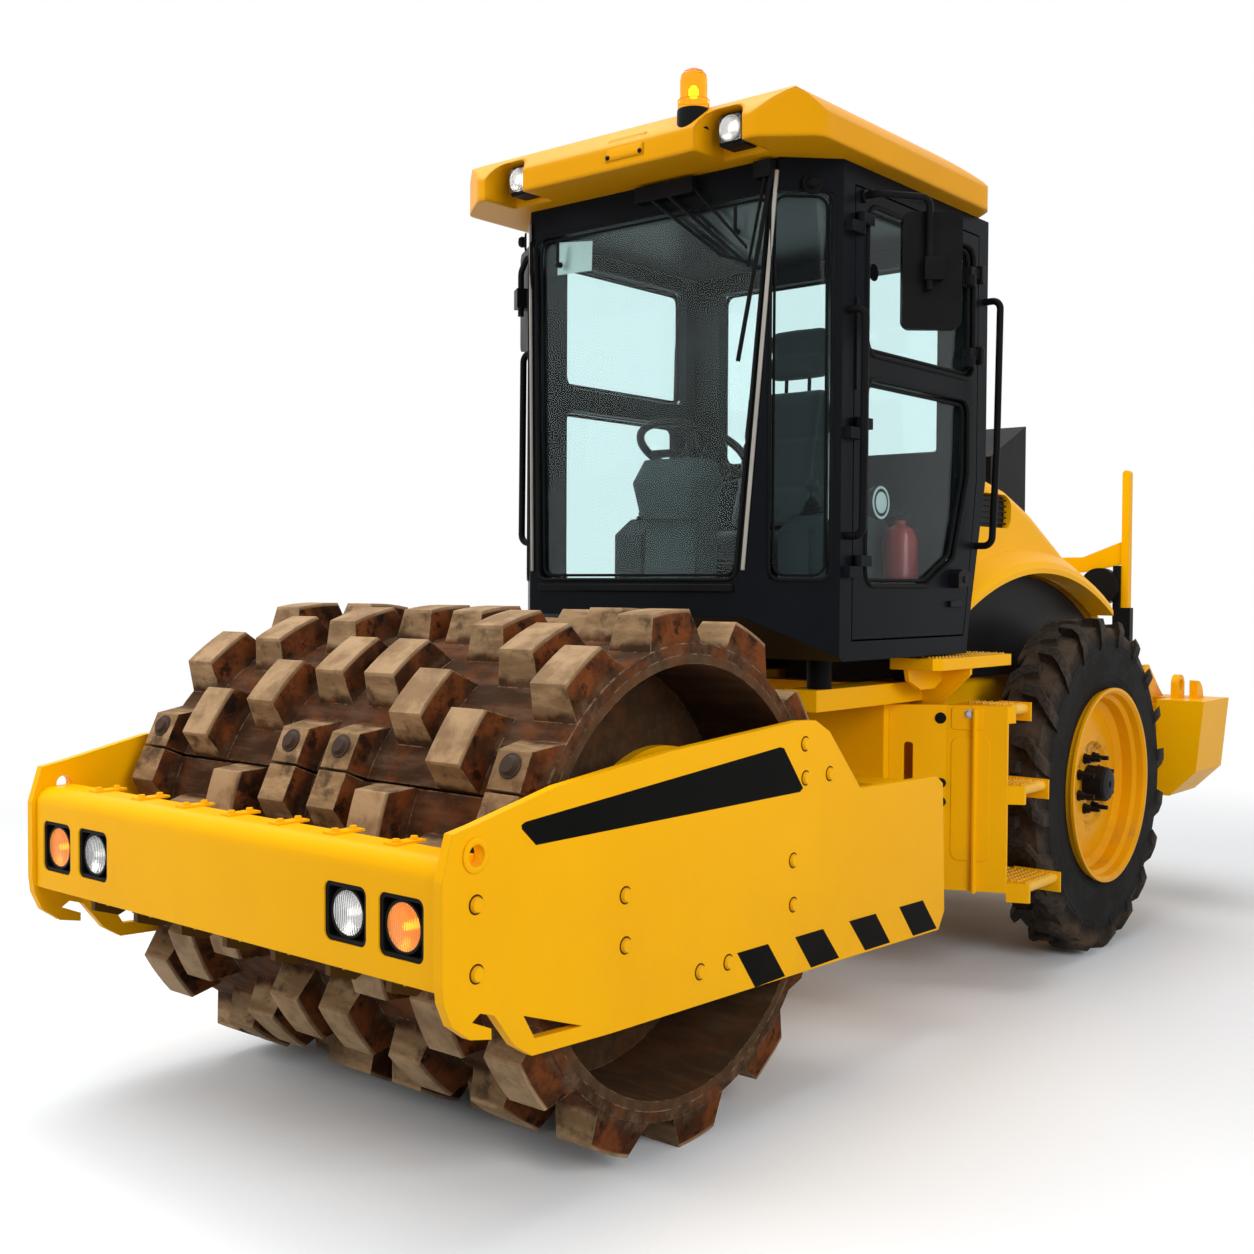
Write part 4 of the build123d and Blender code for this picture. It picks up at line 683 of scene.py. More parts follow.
# A thin dark ring under each head: rust stain and painted shadow in the gap.
bolts("side_plate_stain_and_shadow_rings", both(points), "front", "yellow_paint", rust_and_shadow_ring, head=0.0205, top=0.0200, height=0.0004,
      collar=0.0215, collar_height=0.0009, sides=32)
bolts("side_plate_bolts", both(points), "front", "yellow_paint", yellow, head=0.0165, top=0.0150, height=0.0065,
      collar=0.0175, collar_height=0.0030, sides=32)
tine_places = (-0.595, -0.39, -0.19, 0.0, 0.19, 0.39, 0.595)
strap_rows, strap_top = (-2.320, -2.268), 0.8645
tine_row, tine_foot = -2.302, 0.5645
points = [((x, y, strap_top), (0, 0, 1)) for x in tine_places for y in strap_rows]
bolts("strap_bolts", points, "front", "yellow_paint", yellow, head=0.009, height=0.006, collar=0.012)
points = [((x, tine_row, tine_foot), (0, 0, -1)) for x in tine_places]
bolts("tine_bolts", points, "front", "yellow_paint", yellow, head=0.013, height=0.011, collar=0.018, sides=6)

# %% [markdown]
# ## Drum clamp bolts
# Where the two half shells meet, lugs face each other across the seam and a bolt with a broad flat head
# pulls them together. The seam lies in a tilted plane through the axle, so each bolt stands on its lug's
# top, which faces straight out along the seam.

# %% Clamp bolts
seam = math.radians(155.0)
outward = Vector((0, math.cos(seam), math.sin(seam)))
uphill = Vector((0, math.sin(seam), -math.cos(seam)))
clamp_top, clamp_step = 0.655, 0.062
lug_places = (-0.69, -0.10, 0.10, 0.69)
points = []
for x in lug_places:
    for side in (1, -1):
        place = drum_axle + Vector((x, 0, 0)) + outward * side * clamp_top + uphill * clamp_step
        points.append((tuple(place), tuple(outward * side)))
bolts("clamp_bolts", points, "drum", "rusted_steel", clamp_iron, head=0.024, height=0.010, top=0.018, collar=0.031,
      collar_height=0.004)

# %% [markdown]
# ## Wheel studs and hub caps
# Eight long studs with nuts stand round each black hub cap. Nut, collar and the stud's bare end are two
# runs of the fastener tree, one on the other. The cap is a turned form, so we write a small lathe that
# takes pairs of distance along the axis and radius.

# %% Shapes in mesh code
def lathe(bm, profile, start, axis, sides=48):
    """A turned form from (distance along the axis, radius) pairs, closed at its ends or on itself."""
    axis = Vector(axis).normalized()
    across = axis.orthogonal().normalized()
    other = axis.cross(across)
    turns = [2 * math.pi * n / sides for n in range(sides)]
    rings = []
    for along, radius in profile:
        middle = Vector(start) + axis * along
        rings.append([bm.verts.new(middle)] if radius == 0 else [
            bm.verts.new(middle + (across * math.cos(t) + other * math.sin(t)) * radius) for t in turns])
    pairs = list(zip(rings, rings[1:]))
    if len(rings[0]) > 1 and len(rings[-1]) > 1:
        pairs.append((rings[-1], rings[0]))
    faces = []
    for a, b in pairs:
        for n in range(sides):
            m = (n + 1) % sides
            corners = dict.fromkeys((a[n % len(a)], a[m % len(a)], b[m % len(b)], b[n % len(b)]))
            faces.append(bm.faces.new(list(corners)))
    bmesh.ops.recalc_face_normals(bm, faces=faces)


def plate(bm, outline, depth):
    """A flat outline of points given a depth along a vector."""
    depth = Vector(depth)
    low = [bm.verts.new(p) for p in outline]
    high = [bm.verts.new(Vector(p) + depth) for p in outline]
    faces = [bm.faces.new(low), bm.faces.new(list(reversed(high)))]
    for n in range(len(low)):
        m = (n + 1) % len(low)
        faces.append(bm.faces.new((low[m], low[n], high[n], high[m])))
    bmesh.ops.recalc_face_normals(bm, faces=faces)


def block(bm, low, high):
    """A box between two corners."""
    (x0, y0, z0), (x1, y1, z1) = low, high
    plate(bm, [(x0, y0, z0), (x1, y0, z0), (x1, y1, z0), (x0, y1, z0)], (0, 0, z1 - z0))


def flipped(bm):
    """Adds the mirror image of everything made so far across the machine's middle plane."""
    copy = bmesh.ops.duplicate(bm, geom=bm.verts[:] + bm.edges[:] + bm.faces[:])["geom"]
    faces = [g for g in copy if isinstance(g, bmesh.types.BMFace)]
    for v in (g for g in copy if isinstance(g, bmesh.types.BMVert)):
        v.co.x = -v.co.x
    bmesh.ops.reverse_faces(bm, faces=faces)


def made(name, bm, body, finish, bevel=0.0, replaces=(), mirror=False):
    """Turns mesh code's result, with its mirror image where asked, into a piece that rides with a body."""
    if mirror:
        flipped(bm)
    mesh = bpy.data.meshes.new(name)
    bm.to_mesh(mesh)
    bm.free()
    mesh.shade_smooth()
    mesh.set_sharp_from_angle(angle=math.radians(35))
    mesh.materials.append(finish)
    piece = bpy.data.objects.new(name, mesh)
    scene.collection.objects.link(piece)
    if bevel:
        edge = piece.modifiers.new("edges", "BEVEL")
        edge.width, edge.segments, edge.limit_method, edge.angle_limit = bevel, 2, "ANGLE", math.radians(40)
    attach(piece, body)
    if replaces:
        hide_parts(*replaces)
    print(name, "faces", len(mesh.polygons))


def turned(name, profile, start, axis, body, finish, sides=48, mirror=False):
    """A piece of one turned form."""
    bm = bmesh.new()
    lathe(bm, profile, start, axis, sides)
    made(name, bm, body, finish, mirror=mirror)


left, back, up = (1, 0, 0), (0, 1, 0), (0, 0, 1)
print("lathe, plate and block ready")

# %% Wheel studs and caps
stud_circle, disc_face, hub_face = 0.106, 0.7165, 0.796
stud_turns = [math.radians(45 * n + 22.5) for n in range(8)]
studs = [(rear_axle.y + stud_circle * math.cos(t), rear_axle.z + stud_circle * math.sin(t)) for t in stud_turns]
hub_cap = ((0.719, 0.0665), (0.719, 0.071), (0.730, 0.0695), (hub_face - 0.006, 0.0665), (hub_face + 0.002, 0.058),
           (hub_face + 0.006, 0.030), (hub_face + 0.006, 0.014), (hub_face + 0.002, 0.012), (hub_face + 0.002, 0.0))
for side, body in ((1, "wheel_left"), (-1, "wheel_right")):
    way = (side, 0, 0)
    bolts(f"nuts_{body}", [((side * disc_face, y, z), way) for y, z in studs], body, "black_paint", black_paint,
          head=0.018, top=0.0165, height=0.020, collar=0.0215, collar_height=0.004, sides=6)
    bolts(f"studs_{body}", [((side * (disc_face + 0.02), y, z), way) for y, z in studs], body, "black_paint",
          black_paint, head=0.0095, top=0.0085, height=0.030, collar=0.0095, collar_height=0.012, sides=16)
    turned(f"hub_cap_{body}", hub_cap, (0, rear_axle.y, rear_axle.z), way, body, black_paint)

# %% [markdown]
# ## Painted stripes
# The side plates carry a long black band and four slanted hazard bars. They are film on the real plate,
# so each is a plate cut from a list of corners, which stands six tenths of a millimetre off the steel.

# %% Stripes
def beside_drum(pairs, x):
    """Points at a place across the machine from (y from the drum's axle, z) pairs."""
    return [(x, drum_axle.y + y, z) for y, z in pairs]


hazard_bars = (
    ((0.12, 0.482), (0.26, 0.479), (0.342, 0.377), (0.201, 0.377)),
    ((0.389, 0.473), (0.53, 0.47), (0.616, 0.373), (0.47, 0.374)),
    ((0.668, 0.467), (0.817, 0.463), (0.904, 0.362), (0.759, 0.366)),
    ((0.956, 0.459), (1.103, 0.455), (1.195, 0.352), (1.044, 0.356)),
)
band = ((-0.671, 0.900), (-0.672, 0.909), (-0.660, 0.914), (0.309, 0.993), (0.328, 0.989), (0.422, 0.873),
        (0.407, 0.864), (-0.627, 0.860))
film_sunk, film_depth = 0.0002, 0.0008
bm = bmesh.new()
for outline in (*hazard_bars, band):
    plate(bm, beside_drum(outline, plate_out - film_sunk), (film_depth, 0, 0))
made("stripes", bm, "front", stripe_black, mirror=True)

# %% [markdown]
# ## Eye collars
# A welded collar stiffens the plate round each front lashing eye.

# %% Eye collars
eye_centre = (plate_out, drum_axle.y - 0.808, 0.863)
eye_collar = ((-0.001, 0.0225), (-0.001, 0.037), (0.004, 0.037), (0.006, 0.034), (0.006, 0.0245), (0.005, 0.0225))
turned("eye_collars", eye_collar, eye_centre, left, "front", yellow, mirror=True)

# %% [markdown]
# ## Lamps
# A working lamp is a bright bowl behind ribbed glass. The CAD lens is one solid block, so each front lamp,
# white or amber, gets a flat bed, a turned bowl with its bulb and a thin domed cover in the block's place.
# The roof's work lamps get a rim, a bowl and a flat cover on their front faces.

# %% Front lamps
def rounded_outline(low, high, corner, y):
    """Corner-rounded rectangle of points in a plane across the machine."""
    (x0, z0), (x1, z1) = low, high
    steps = 5
    points = []
    for cx, cz, start in ((x1 - corner, z1 - corner, 0), (x0 + corner, z1 - corner, 90),
                          (x0 + corner, z0 + corner, 180), (x1 - corner, z0 + corner, 270)):
        for n in range(steps + 1):
            t = math.radians(start + 90 * n / steps)
            points.append((cx + corner * math.cos(t), y, cz + corner * math.sin(t)))
    return points


def bowl(radius, deep):
    """The profile of a reflector that opens towards the front, with its rim."""
    shape = [(deep * (1 - (n / 8) ** 2), radius * n / 8) for n in range(1, 9)]
    return (deep, 0.0), *shape, (-0.002, radius + 0.004), (deep + 0.003, radius + 0.004), (deep + 0.003, 0.0)


def dome(radius, bulge, wall):
    """The profile of a shallow round cover that swells towards the front."""
    curve = [(bulge * (1 - (n / 8) ** 2), radius * n / 8) for n in range(9)]
    outer = [(-along, r) for along, r in curve]
    inner = [(-along + wall, r) for along, r in reversed(curve)]
    return outer + inner


front_lamps = (  # name, middle across and up, radius, cover's slot and finish, bulb
    ("head", 0.51, 0.710, 0.051, "clear_lens", clear_lens, white_glow),
    ("turn", 0.69, 0.7075, 0.053, "amber_lens", amber_lens, amber_glow),
)
bed_y, bowl_y, cover_y = -2.3625, -2.3785, -2.3815
bed_half_wide, bed_half_high = 0.0592, 0.0545
bulb_shape = ((0.0, 0.0), (0.001, 0.006), (0.005, 0.0090), (0.010, 0.0065), (0.0125, 0.0))
for name, x, z, radius, slot, cover, bulb in front_lamps:
    bm = bmesh.new()
    low, high = (x - bed_half_wide, z - bed_half_high), (x + bed_half_wide, z + bed_half_high)
    plate(bm, rounded_outline(low, high, 0.010, bed_y), (0, 0.002, 0))
    lathe(bm, ((-0.001, radius - 0.001), (-0.001, radius + 0.005), (0.020, radius + 0.005), (0.020, radius - 0.001)),
          (x, cover_y, z), back)
    made(f"{name}_beds", bm, "front", plastic, replaces=(f"{name}_lenses",), mirror=True)
    turned(f"{name}_bowls", bowl(radius - 0.006, 0.013), (x, bowl_y, z), back, "front", lamp_silver,
           sides=40, mirror=True)
    turned(f"{name}_bulbs", bulb_shape, (x, bowl_y, z), back, "front", bulb, sides=20, mirror=True)
    turned(f"{name}_covers", dome(radius, 0.0065, 0.003), (x, cover_y, z), back, "front", cover, mirror=True)

# %% Roof lamps
face_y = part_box("roof_lamps")[0].y
bm = bmesh.new()
plate(bm, rounded_outline((0.390, 2.724), (0.474, 2.806), 0.010, face_y - 0.002), (0, 0.004, 0))
made("roof_lamp_rims", bm, "rear", plastic, bevel=0.001, mirror=True)
turned("roof_lamp_bowls", bowl(0.034, 0.009), (0.432, face_y - 0.0145, 2.765), back, "rear",
       lamp_silver, sides=40, mirror=True)
bm = bmesh.new()
plate(bm, rounded_outline((0.393, 2.727), (0.471, 2.803), 0.009, face_y - 0.017), (0, 0.003, 0))
made("roof_lamp_covers", bm, "rear", clear_lens, bevel=0.001, mirror=True)

# %% [markdown]
# ## Beacon foot
# The beacon's amber dome stands on a short black collar that comes up through the roof's slope, and a
# small bulb stands in its middle.

# %% Beacon foot
beacon_foot = (0.304, -0.90, 0)
collar_shape = ((2.776, 0.0475), (2.776, 0.0500), (2.830, 0.0500), (2.839, 0.0492), (2.839, 0.0475))
turned("beacon_collar", collar_shape, beacon_foot, up, "rear", plastic)
beacon_bulb = ((2.872, 0.0), (2.874, 0.008), (2.884, 0.0125), (2.900, 0.0125), (2.910, 0.007), (2.913, 0.0))
turned("beacon_bulb", beacon_bulb, beacon_foot, up, "rear", amber_glow, sides=24)

# %% [markdown]
# ## Window seals
# Rubber runs round every pane, in the real cab as a fat outer lip and a thinner inner one. A seal follows
# its window's outline, so one Geometry Nodes tree does it: it rounds the corners of a closed line and
# sweeps a round section along it.

# %% Seal tree
seals, tree_in, tree_out = new_tree("seal along a line", [
    ("Radius", "NodeSocketFloat"), ("Corner", "NodeSocketFloat"),
    ("Sides", "NodeSocketInt"), ("Finish", "NodeSocketMaterial")])
line = add(seals, "GeometryNodeMeshToCurve")
bend_line = add(seals, "GeometryNodeFilletCurve", {"Count": 5}, mode="POLY")
section = add(seals, "GeometryNodeCurvePrimitiveCircle")
swept = add(seals, "GeometryNodeCurveToMesh", {"Fill Caps": True})
smooth = add(seals, "GeometryNodeSetShadeSmooth", {"Shade Smooth": True})
real = add(seals, "GeometryNodeRealizeInstances")
finish = add(seals, "GeometryNodeSetMaterial")
sizes = tree_in.outputs
join(seals, (sizes["Geometry"], line.inputs[0]), (line.outputs[0], bend_line.inputs["Curve"]),
     (sizes["Corner"], bend_line.inputs["Radius"]), (sizes["Sides"], section.inputs["Resolution"]),
     (sizes["Radius"], section.inputs["Radius"]), (bend_line.outputs[0], swept.inputs["Curve"]),
     (section.outputs[0], swept.inputs["Profile Curve"]), (swept.outputs[0], smooth.inputs["Geometry"]),
     (smooth.outputs[0], real.inputs[0]), (real.outputs[0], finish.inputs["Geometry"]),
     (sizes["Finish"], finish.inputs["Material"]), (finish.outputs[0], tree_out.inputs[0]))


def beads(name, lines, body, finish, radius, corner):
    """Round beads along closed lines of points."""
    sides = 10
    verts, edges = [], []
    for points in lines:
        start, count = len(verts), len(points)
        verts += [tuple(p) for p in points]
        edges += [(start + n, start + (n + 1) % count) for n in range(count)]
    mesh = bpy.data.meshes.new(name)
    mesh.from_pydata(verts, edges, [])
    grow(name, mesh, seals, {"Radius": radius, "Corner": corner, "Sides": sides, "Finish": finish}, body)


def inset(outline, amount):
    """A closed outline of 2-D points, anticlockwise, moved inwards by an amount."""
    result = []
    count = len(outline)
    for n in range(count):
        a, b, c = (Vector(outline[(n + k) % count]) for k in (-1, 0, 1))
        one, two = (b - a).normalized(), (c - b).normalized()
        inward_one, inward_two = Vector((-one.y, one.x)), Vector((-two.y, two.x))
        middle = inward_one + inward_two
        result.append(tuple(b + middle * (amount / (1 + inward_one.dot(inward_two)))))
    return result


print("seal tree", seals.name)

# %% Side windows
upper_window = ((-0.46, 2.14), (0.25, 2.14), (0.25, 2.59), (-0.46, 2.59))
lower_window = ((-0.46, 1.425), (-0.07, 1.425), (0.12, 1.515), (0.215, 1.80), (0.215, 2.06), (-0.46, 2.06))


def side_lines(x, amount):
    """Both windows' outlines at a place across the machine, moved inwards by an amount."""
    return [[(x, y, z) for y, z in inset(outline, amount)] for outline in (upper_window, lower_window)]


for side, body, word in ((1, "door", "door"), (-1, "rear", "right")):
    beads(f"{word}_outer_seals", side_lines(side * 0.6485, -0.004), body, rubber, 0.0085, corner=0.05)
    beads(f"{word}_inner_seals", side_lines(side * 0.636, 0.014), body, rubber, 0.0065, corner=0.035)


# %% Windscreen and corner panes
nose_foot, lean_back, lean_out = 1.09, 0.0540, 0.0509  # height where the nose starts to lean, and its slopes
pane_low, pane_high = 1.44, 2.60
diagonal = math.sqrt(0.5)


def screen_y(z, depth=0.0):
    """The windscreen's outer face at a height, in the machine's frame."""
    return -0.832 + (z - nose_foot) * lean_back + depth


def corner_line(depth, amount):
    """The outline of the left corner pane, which stands at 45 degrees."""
    middle, half_wide = (0.55 + 0.813) * diagonal, 0.092 - amount
    points = []
    for along, z in ((middle - half_wide, pane_low + amount), (middle + half_wide, pane_low + amount),
                     (middle + half_wide, pane_high - amount), (middle - half_wide, pane_high - amount)):
        nose_x = 0.43 + (z - nose_foot) * lean_out
        nose_y = 0.668 + (z - nose_foot) * lean_back
        off = (nose_x - nose_y) * diagonal - depth
        points.append(((along + off) * diagonal, drum_axle.y + (along - off) * diagonal, z))
    return points


screen = ((-0.405, pane_low), (0.405, pane_low), (0.481, pane_high), (-0.481, pane_high))
for depth, amount, radius, word in ((0.0, -0.003, 0.0060, "outer"), (0.013, 0.012, 0.0045, "inner")):
    front_line = [(x, screen_y(z, depth), z) for x, z in inset(screen, amount)]
    left_line = corner_line(depth, amount)
    right_line = [(-x, y, z) for x, y, z in left_line]
    beads(f"screen_{word}_seals", [front_line, left_line, right_line], "rear", rubber, radius,
          corner=0.035)
rear_pane = ((0.48, 1.90), (-0.48, 1.90), (-0.48, 2.58), (0.48, 2.58))
beads("rear_window_seal", [[(x, 0.3595, z) for x, z in rear_pane]], "rear", rubber, 0.009, corner=0.04)

# %% Corner strips
bm = bmesh.new()
low_x, low_y, low_z, high_x, high_y, high_z = 0.434, -0.8125, 1.466, 0.506, -0.752, 2.66
half = 0.0048
plate(bm, [(low_x - half, low_y - half * 0.4, low_z), (low_x + half, low_y + half, low_z),
           (high_x + half, high_y + half, high_z), (high_x - half, high_y - half * 0.4, high_z)], (0.003, -0.008, 0))
made("corner_strips", bm, "rear", pale_metal, bevel=0.001, mirror=True)

# %% [markdown]
# ## Knobs, clamps and hooks on the cab
# The small black fittings that hold the panes are what makes a cab look real: a rubber knob in the
# corner pane, clamps on the back edge of the door's window, and hooks at the top of the windscreen.

# %% Cab fittings
def knob(radius, long):
    """The profile of a rubber knob on its washer."""
    return ((-0.004, 0.0), (-0.004, radius * 1.35), (0.002, radius * 1.3), (0.004, radius * 0.75),
            (long * 0.55, radius * 0.8), (long * 0.9, radius * 0.55), (long, 0.0))


turned("corner_knobs", knob(0.024, 0.026), (0.592, -0.690, 2.62), (diagonal, -diagonal, 0.0), "rear",
       rubber, sides=28, mirror=True)
clamp_disc = ((-0.004, 0.0), (-0.004, 0.022), (0.030, 0.022), (0.036, 0.016), (0.036, 0.0))
bm = bmesh.new()
for z in (2.50, 2.222):
    block(bm, (0.630, 0.206, z - 0.016), (0.664, 0.292, z + 0.020))
    lathe(bm, clamp_disc, (0.650, 0.222, z - 0.012), (0, 0, -1), 24)
    block(bm, (0.650, 0.262, z - 0.03), (0.676, 0.290, z + 0.03))
made("door_pane_clamps", bm, "door", plastic, bevel=0.004)
hook_z = 2.50
hook_disc = ((-0.012, 0.0), (-0.012, 0.010), (0.006, 0.010), (0.006, 0.0))
bm = bmesh.new()
for x in (-0.374, 0.36):
    y = screen_y(hook_z, 0.006)
    lathe(bm, hook_disc, (x, y, hook_z), back, 20)
    block(bm, (x - 0.005, y - 0.014, hook_z), (x + 0.005, y - 0.006, hook_z + 0.075))
made("screen_hooks", bm, "rear", plastic, bevel=0.002)
turned("door_pane_knob", knob(0.020, 0.045), (0.628, -0.395, 2.40), (-1, 0, 0), "door", rubber,
       sides=28)

# %% Door seam and lock
lock_disc = ((-0.002, 0.0), (-0.002, 0.013), (0.004, 0.012), (0.004, 0.0))
bm = bmesh.new()
block(bm, (0.649, -0.535, 2.02), (0.656, -0.522, 2.30))
block(bm, (0.649, 0.085, 1.350), (0.662, 0.170, 1.372))
lathe(bm, lock_disc, (0.688, 0.135, 1.445), left, 24)
made("door_trim", bm, "door", plastic, bevel=0.002)

# %% Windscreen foot and blank label
foot_y = screen_y(1.425)
bm = bmesh.new()
block(bm, (-0.40, foot_y - 0.010, 1.400), (0.40, foot_y + 0.004, 1.424))
made("screen_foot_trim", bm, "rear", plastic, bevel=0.003)
label = ((-0.399, 2.583), (-0.245, 2.566), (-0.244, 2.467), (-0.398, 2.471))
bm = bmesh.new()
plate(bm, [(x, screen_y(z, 0.0245), z) for x, z in label], (0, 0.0006, 0))
made("screen_label", bm, "rear", label_white)

# %% [markdown]
# ## Hatch and aerial
# A pressed hatch follows the roof's rounded front edge, held by two screws, and a thin aerial stands on
# the hood behind the cab.

# %% Roof hatch and aerial
edge_line = ((-0.955, 2.728), (-0.955, 2.757), (-0.9345, 2.7975))
proud_line = ((-0.9585, 2.726), (-0.9585, 2.7575), (-0.9372, 2.7997))
bm = bmesh.new()
plate(bm, [(0.004, y, z) for y, z in (*edge_line, *reversed(proud_line))], (0.152, 0, 0))
made("roof_hatch", bm, "rear", roof_yellow, bevel=0.0015)
points = [((x, -0.9585, 2.738), (0, -1, 0)) for x in (0.016, 0.144)]
bolts("hatch_screws", points, "rear", "black_plastic", plastic, head=0.0065, height=0.004, collar=0.0075,
      collar_height=0.001)
aerial = ((-0.012, 0.0), (-0.012, 0.014), (0.014, 0.013), (0.022, 0.006), (0.060, 0.0036), (0.360, 0.0030),
          (0.366, 0.0045), (0.374, 0.0045), (0.376, 0.0))
turned("aerial", aerial, (0.35, 1.30, 1.600), up, "hood", plastic, sides=20)

# %% [markdown]
# ## Inside the cab
# Through the glass one sees a round lamp with a white ring, a red extinguisher beside the seat and the
# lever gaiters. They are turned forms, so the lathe makes them.

# %% Cab interior
speaker_centre, bottle_foot = (0.545, -0.19, 1.695), (0.500, 0.02, 1.43)
inwards = (-1, 0, 0)
speaker = ((0.0, 0.0), (0.0, 0.045), (0.004, 0.052), (0.010, 0.057), (0.030, 0.050), (0.045, 0.030), (0.045, 0.0))
turned("cab_speaker", speaker, speaker_centre, inwards, "rear", plastic, sides=40)
speaker_ring = ((0.001, 0.046), (0.001, 0.054), (-0.0015, 0.054), (-0.0015, 0.046))
speaker_disc = ((0.0004, 0.0), (0.0004, 0.036), (0.0020, 0.035), (0.0045, 0.022), (0.0060, 0.0))
bm = bmesh.new()
lathe(bm, speaker_ring, speaker_centre, inwards, 40)
lathe(bm, speaker_disc, speaker_centre, left, 36)
made("cab_speaker_ring", bm, "rear", label_white)
bottle = ((0.0, 0.0), (0.0, 0.052), (0.006, 0.060), (0.150, 0.060), (0.185, 0.045), (0.200, 0.020), (0.215, 0.020),
          (0.215, 0.0))
turned("extinguisher", bottle, bottle_foot, up, "rear", red_paint, sides=40)
bm = bmesh.new()
block(bm, (0.445, -0.045, 1.40), (0.555, 0.085, 1.43))
lathe(bm, ((0.0, 0.0), (0.0, 0.014), (0.030, 0.014), (0.030, 0.0)), (0.500, 0.02, 1.643), up, 20)
block(bm, (0.490, -0.05, 1.665), (0.510, 0.045, 1.680))
made("extinguisher_bracket", bm, "rear", plastic, bevel=0.003)
gaiter = ((0.0, 0.0), (0.0, 0.040), (0.012, 0.040), (0.018, 0.030), (0.026, 0.034), (0.034, 0.022), (0.042, 0.026),
          (0.052, 0.013), (0.060, 0.009), (0.060, 0.0))
bm = bmesh.new()
for x in (-0.35, 0.35):
    lathe(bm, gaiter, (x, -0.30, 1.655), up, 28)
made("lever_gaiters", bm, "rear", rubber)

# %% [markdown]
# ## Seat
# A driver's seat is foam under tight cloth: crowned in the middle, drawn in along its sewn channels and
# between its corners. Each pad starts a little smaller than its place, gets an even skin of small
# squares, and is inflated by cloth simulation. A cap on each point's movement keeps it inside its space.
# The channels come afterwards, as smooth grooves, because the even skin would swallow them.

# %% Seat cloth material
seat_cloth, tree, skin = blank("seat cloth")
spot = add(tree, "ShaderNodeTexCoord")
weave = {"Scale": 420.0, "Distortion": 1.0, "Detail": 1.0}
warp, weft = (add(tree, "ShaderNodeTexWave", weave, bands_direction=way) for way in ("X", "DIAGONAL"))
surface = use(tree, grain, scale=900.0, waviness=9.0)
join(tree, (spot.outputs["Object"], warp.inputs["Vector"]), (spot.outputs["Object"], weft.inputs["Vector"]))
threads = maths(tree, "MULTIPLY", warp.outputs["Fac"], weft.outputs["Fac"])
tone = blended(tree, threads, (0.028, 0.031, 0.034), (0.060, 0.066, 0.070))
tone = blended(tree, maths(tree, "MULTIPLY", surface.outputs["Clouds"], 0.35), tone, (0.045, 0.048, 0.050))
clad(tree, skin, tone, ramp(tree, threads, 0.0, 1.0, 0.95, 0.8), threads, 0.35, 0.0015)
tune(skin, {"Sheen Weight": 0.25, "Specular IOR Level": 0.2})
print("finish:", seat_cloth.name)


# %% Pads by cloth simulation
def pad_blank(name, outline, half):
    """A side outline given its width, with round edges and an even skin."""
    bm = bmesh.new()
    plate(bm, [(-half, y, z) for y, z in outline], (2 * half, 0, 0))
    bmesh.ops.bevel(bm, geom=bm.edges[:], offset=0.030, segments=4, profile=0.6, affect="EDGES")
    mesh = bpy.data.meshes.new(name)
    bm.to_mesh(mesh)
    bm.free()
    pad = bpy.data.objects.new(name, mesh)
    scene.collection.objects.link(pad)
    skin_net = pad.modifiers.new("skin", "REMESH")
    skin_net.mode, skin_net.voxel_size = "VOXEL", 0.009
    even = bpy.data.meshes.new_from_object(pad.evaluated_get(bpy.context.evaluated_depsgraph_get()))
    pad.modifiers.remove(skin_net)
    pad.data = even
    return pad


def per_point(mesh, field):
    """A mesh's values at its points, one row for each point."""
    values = np.empty(len(mesh.vertices) * 3)
    mesh.vertices.foreach_get(field, values)
    return values.reshape(-1, 3)


def inflate(pad, cap):
    """Cloth under light pressure, with each point's movement capped."""
    last = 20
    start = per_point(pad.data, "co")
    cloth = pad.modifiers.new("cloth", "CLOTH")
    cloth.settings.use_pressure = True
    cloth.settings.uniform_pressure_force = 4.0
    cloth.settings.effector_weights.gravity = 0.0
    cloth.point_cache.frame_start, cloth.point_cache.frame_end = 1, last
    for step in range(1, last + 1):
        scene.frame_set(step)
    end = per_point(pad.evaluated_get(bpy.context.evaluated_depsgraph_get()).data, "co")
    pad.modifiers.remove(cloth)
    scene.frame_set(1)
    move = end - start
    size = np.linalg.norm(move, axis=1, keepdims=True)
    move *= np.minimum(1.0, cap / np.maximum(size, 1e-9))
    pad.data.vertices.foreach_set("co", (start + move).ravel())
    print(pad.name, "largest move", round(float(size.max()), 4), "capped at", cap)


def sew(pad, channels):
    """Smooth grooves where the pad comes near a plane, given as (axis, place) pairs."""
    deep, wide = 0.007, 0.010
    points, normals = per_point(pad.data, "co"), per_point(pad.data, "normal")
    for axis, place in channels:
        near = np.exp(-((points[:, axis] - place) / wide) ** 2)
        points = points - normals * (deep * near)[:, None]
    pad.data.vertices.foreach_set("co", points.ravel())
    pad.data.update()


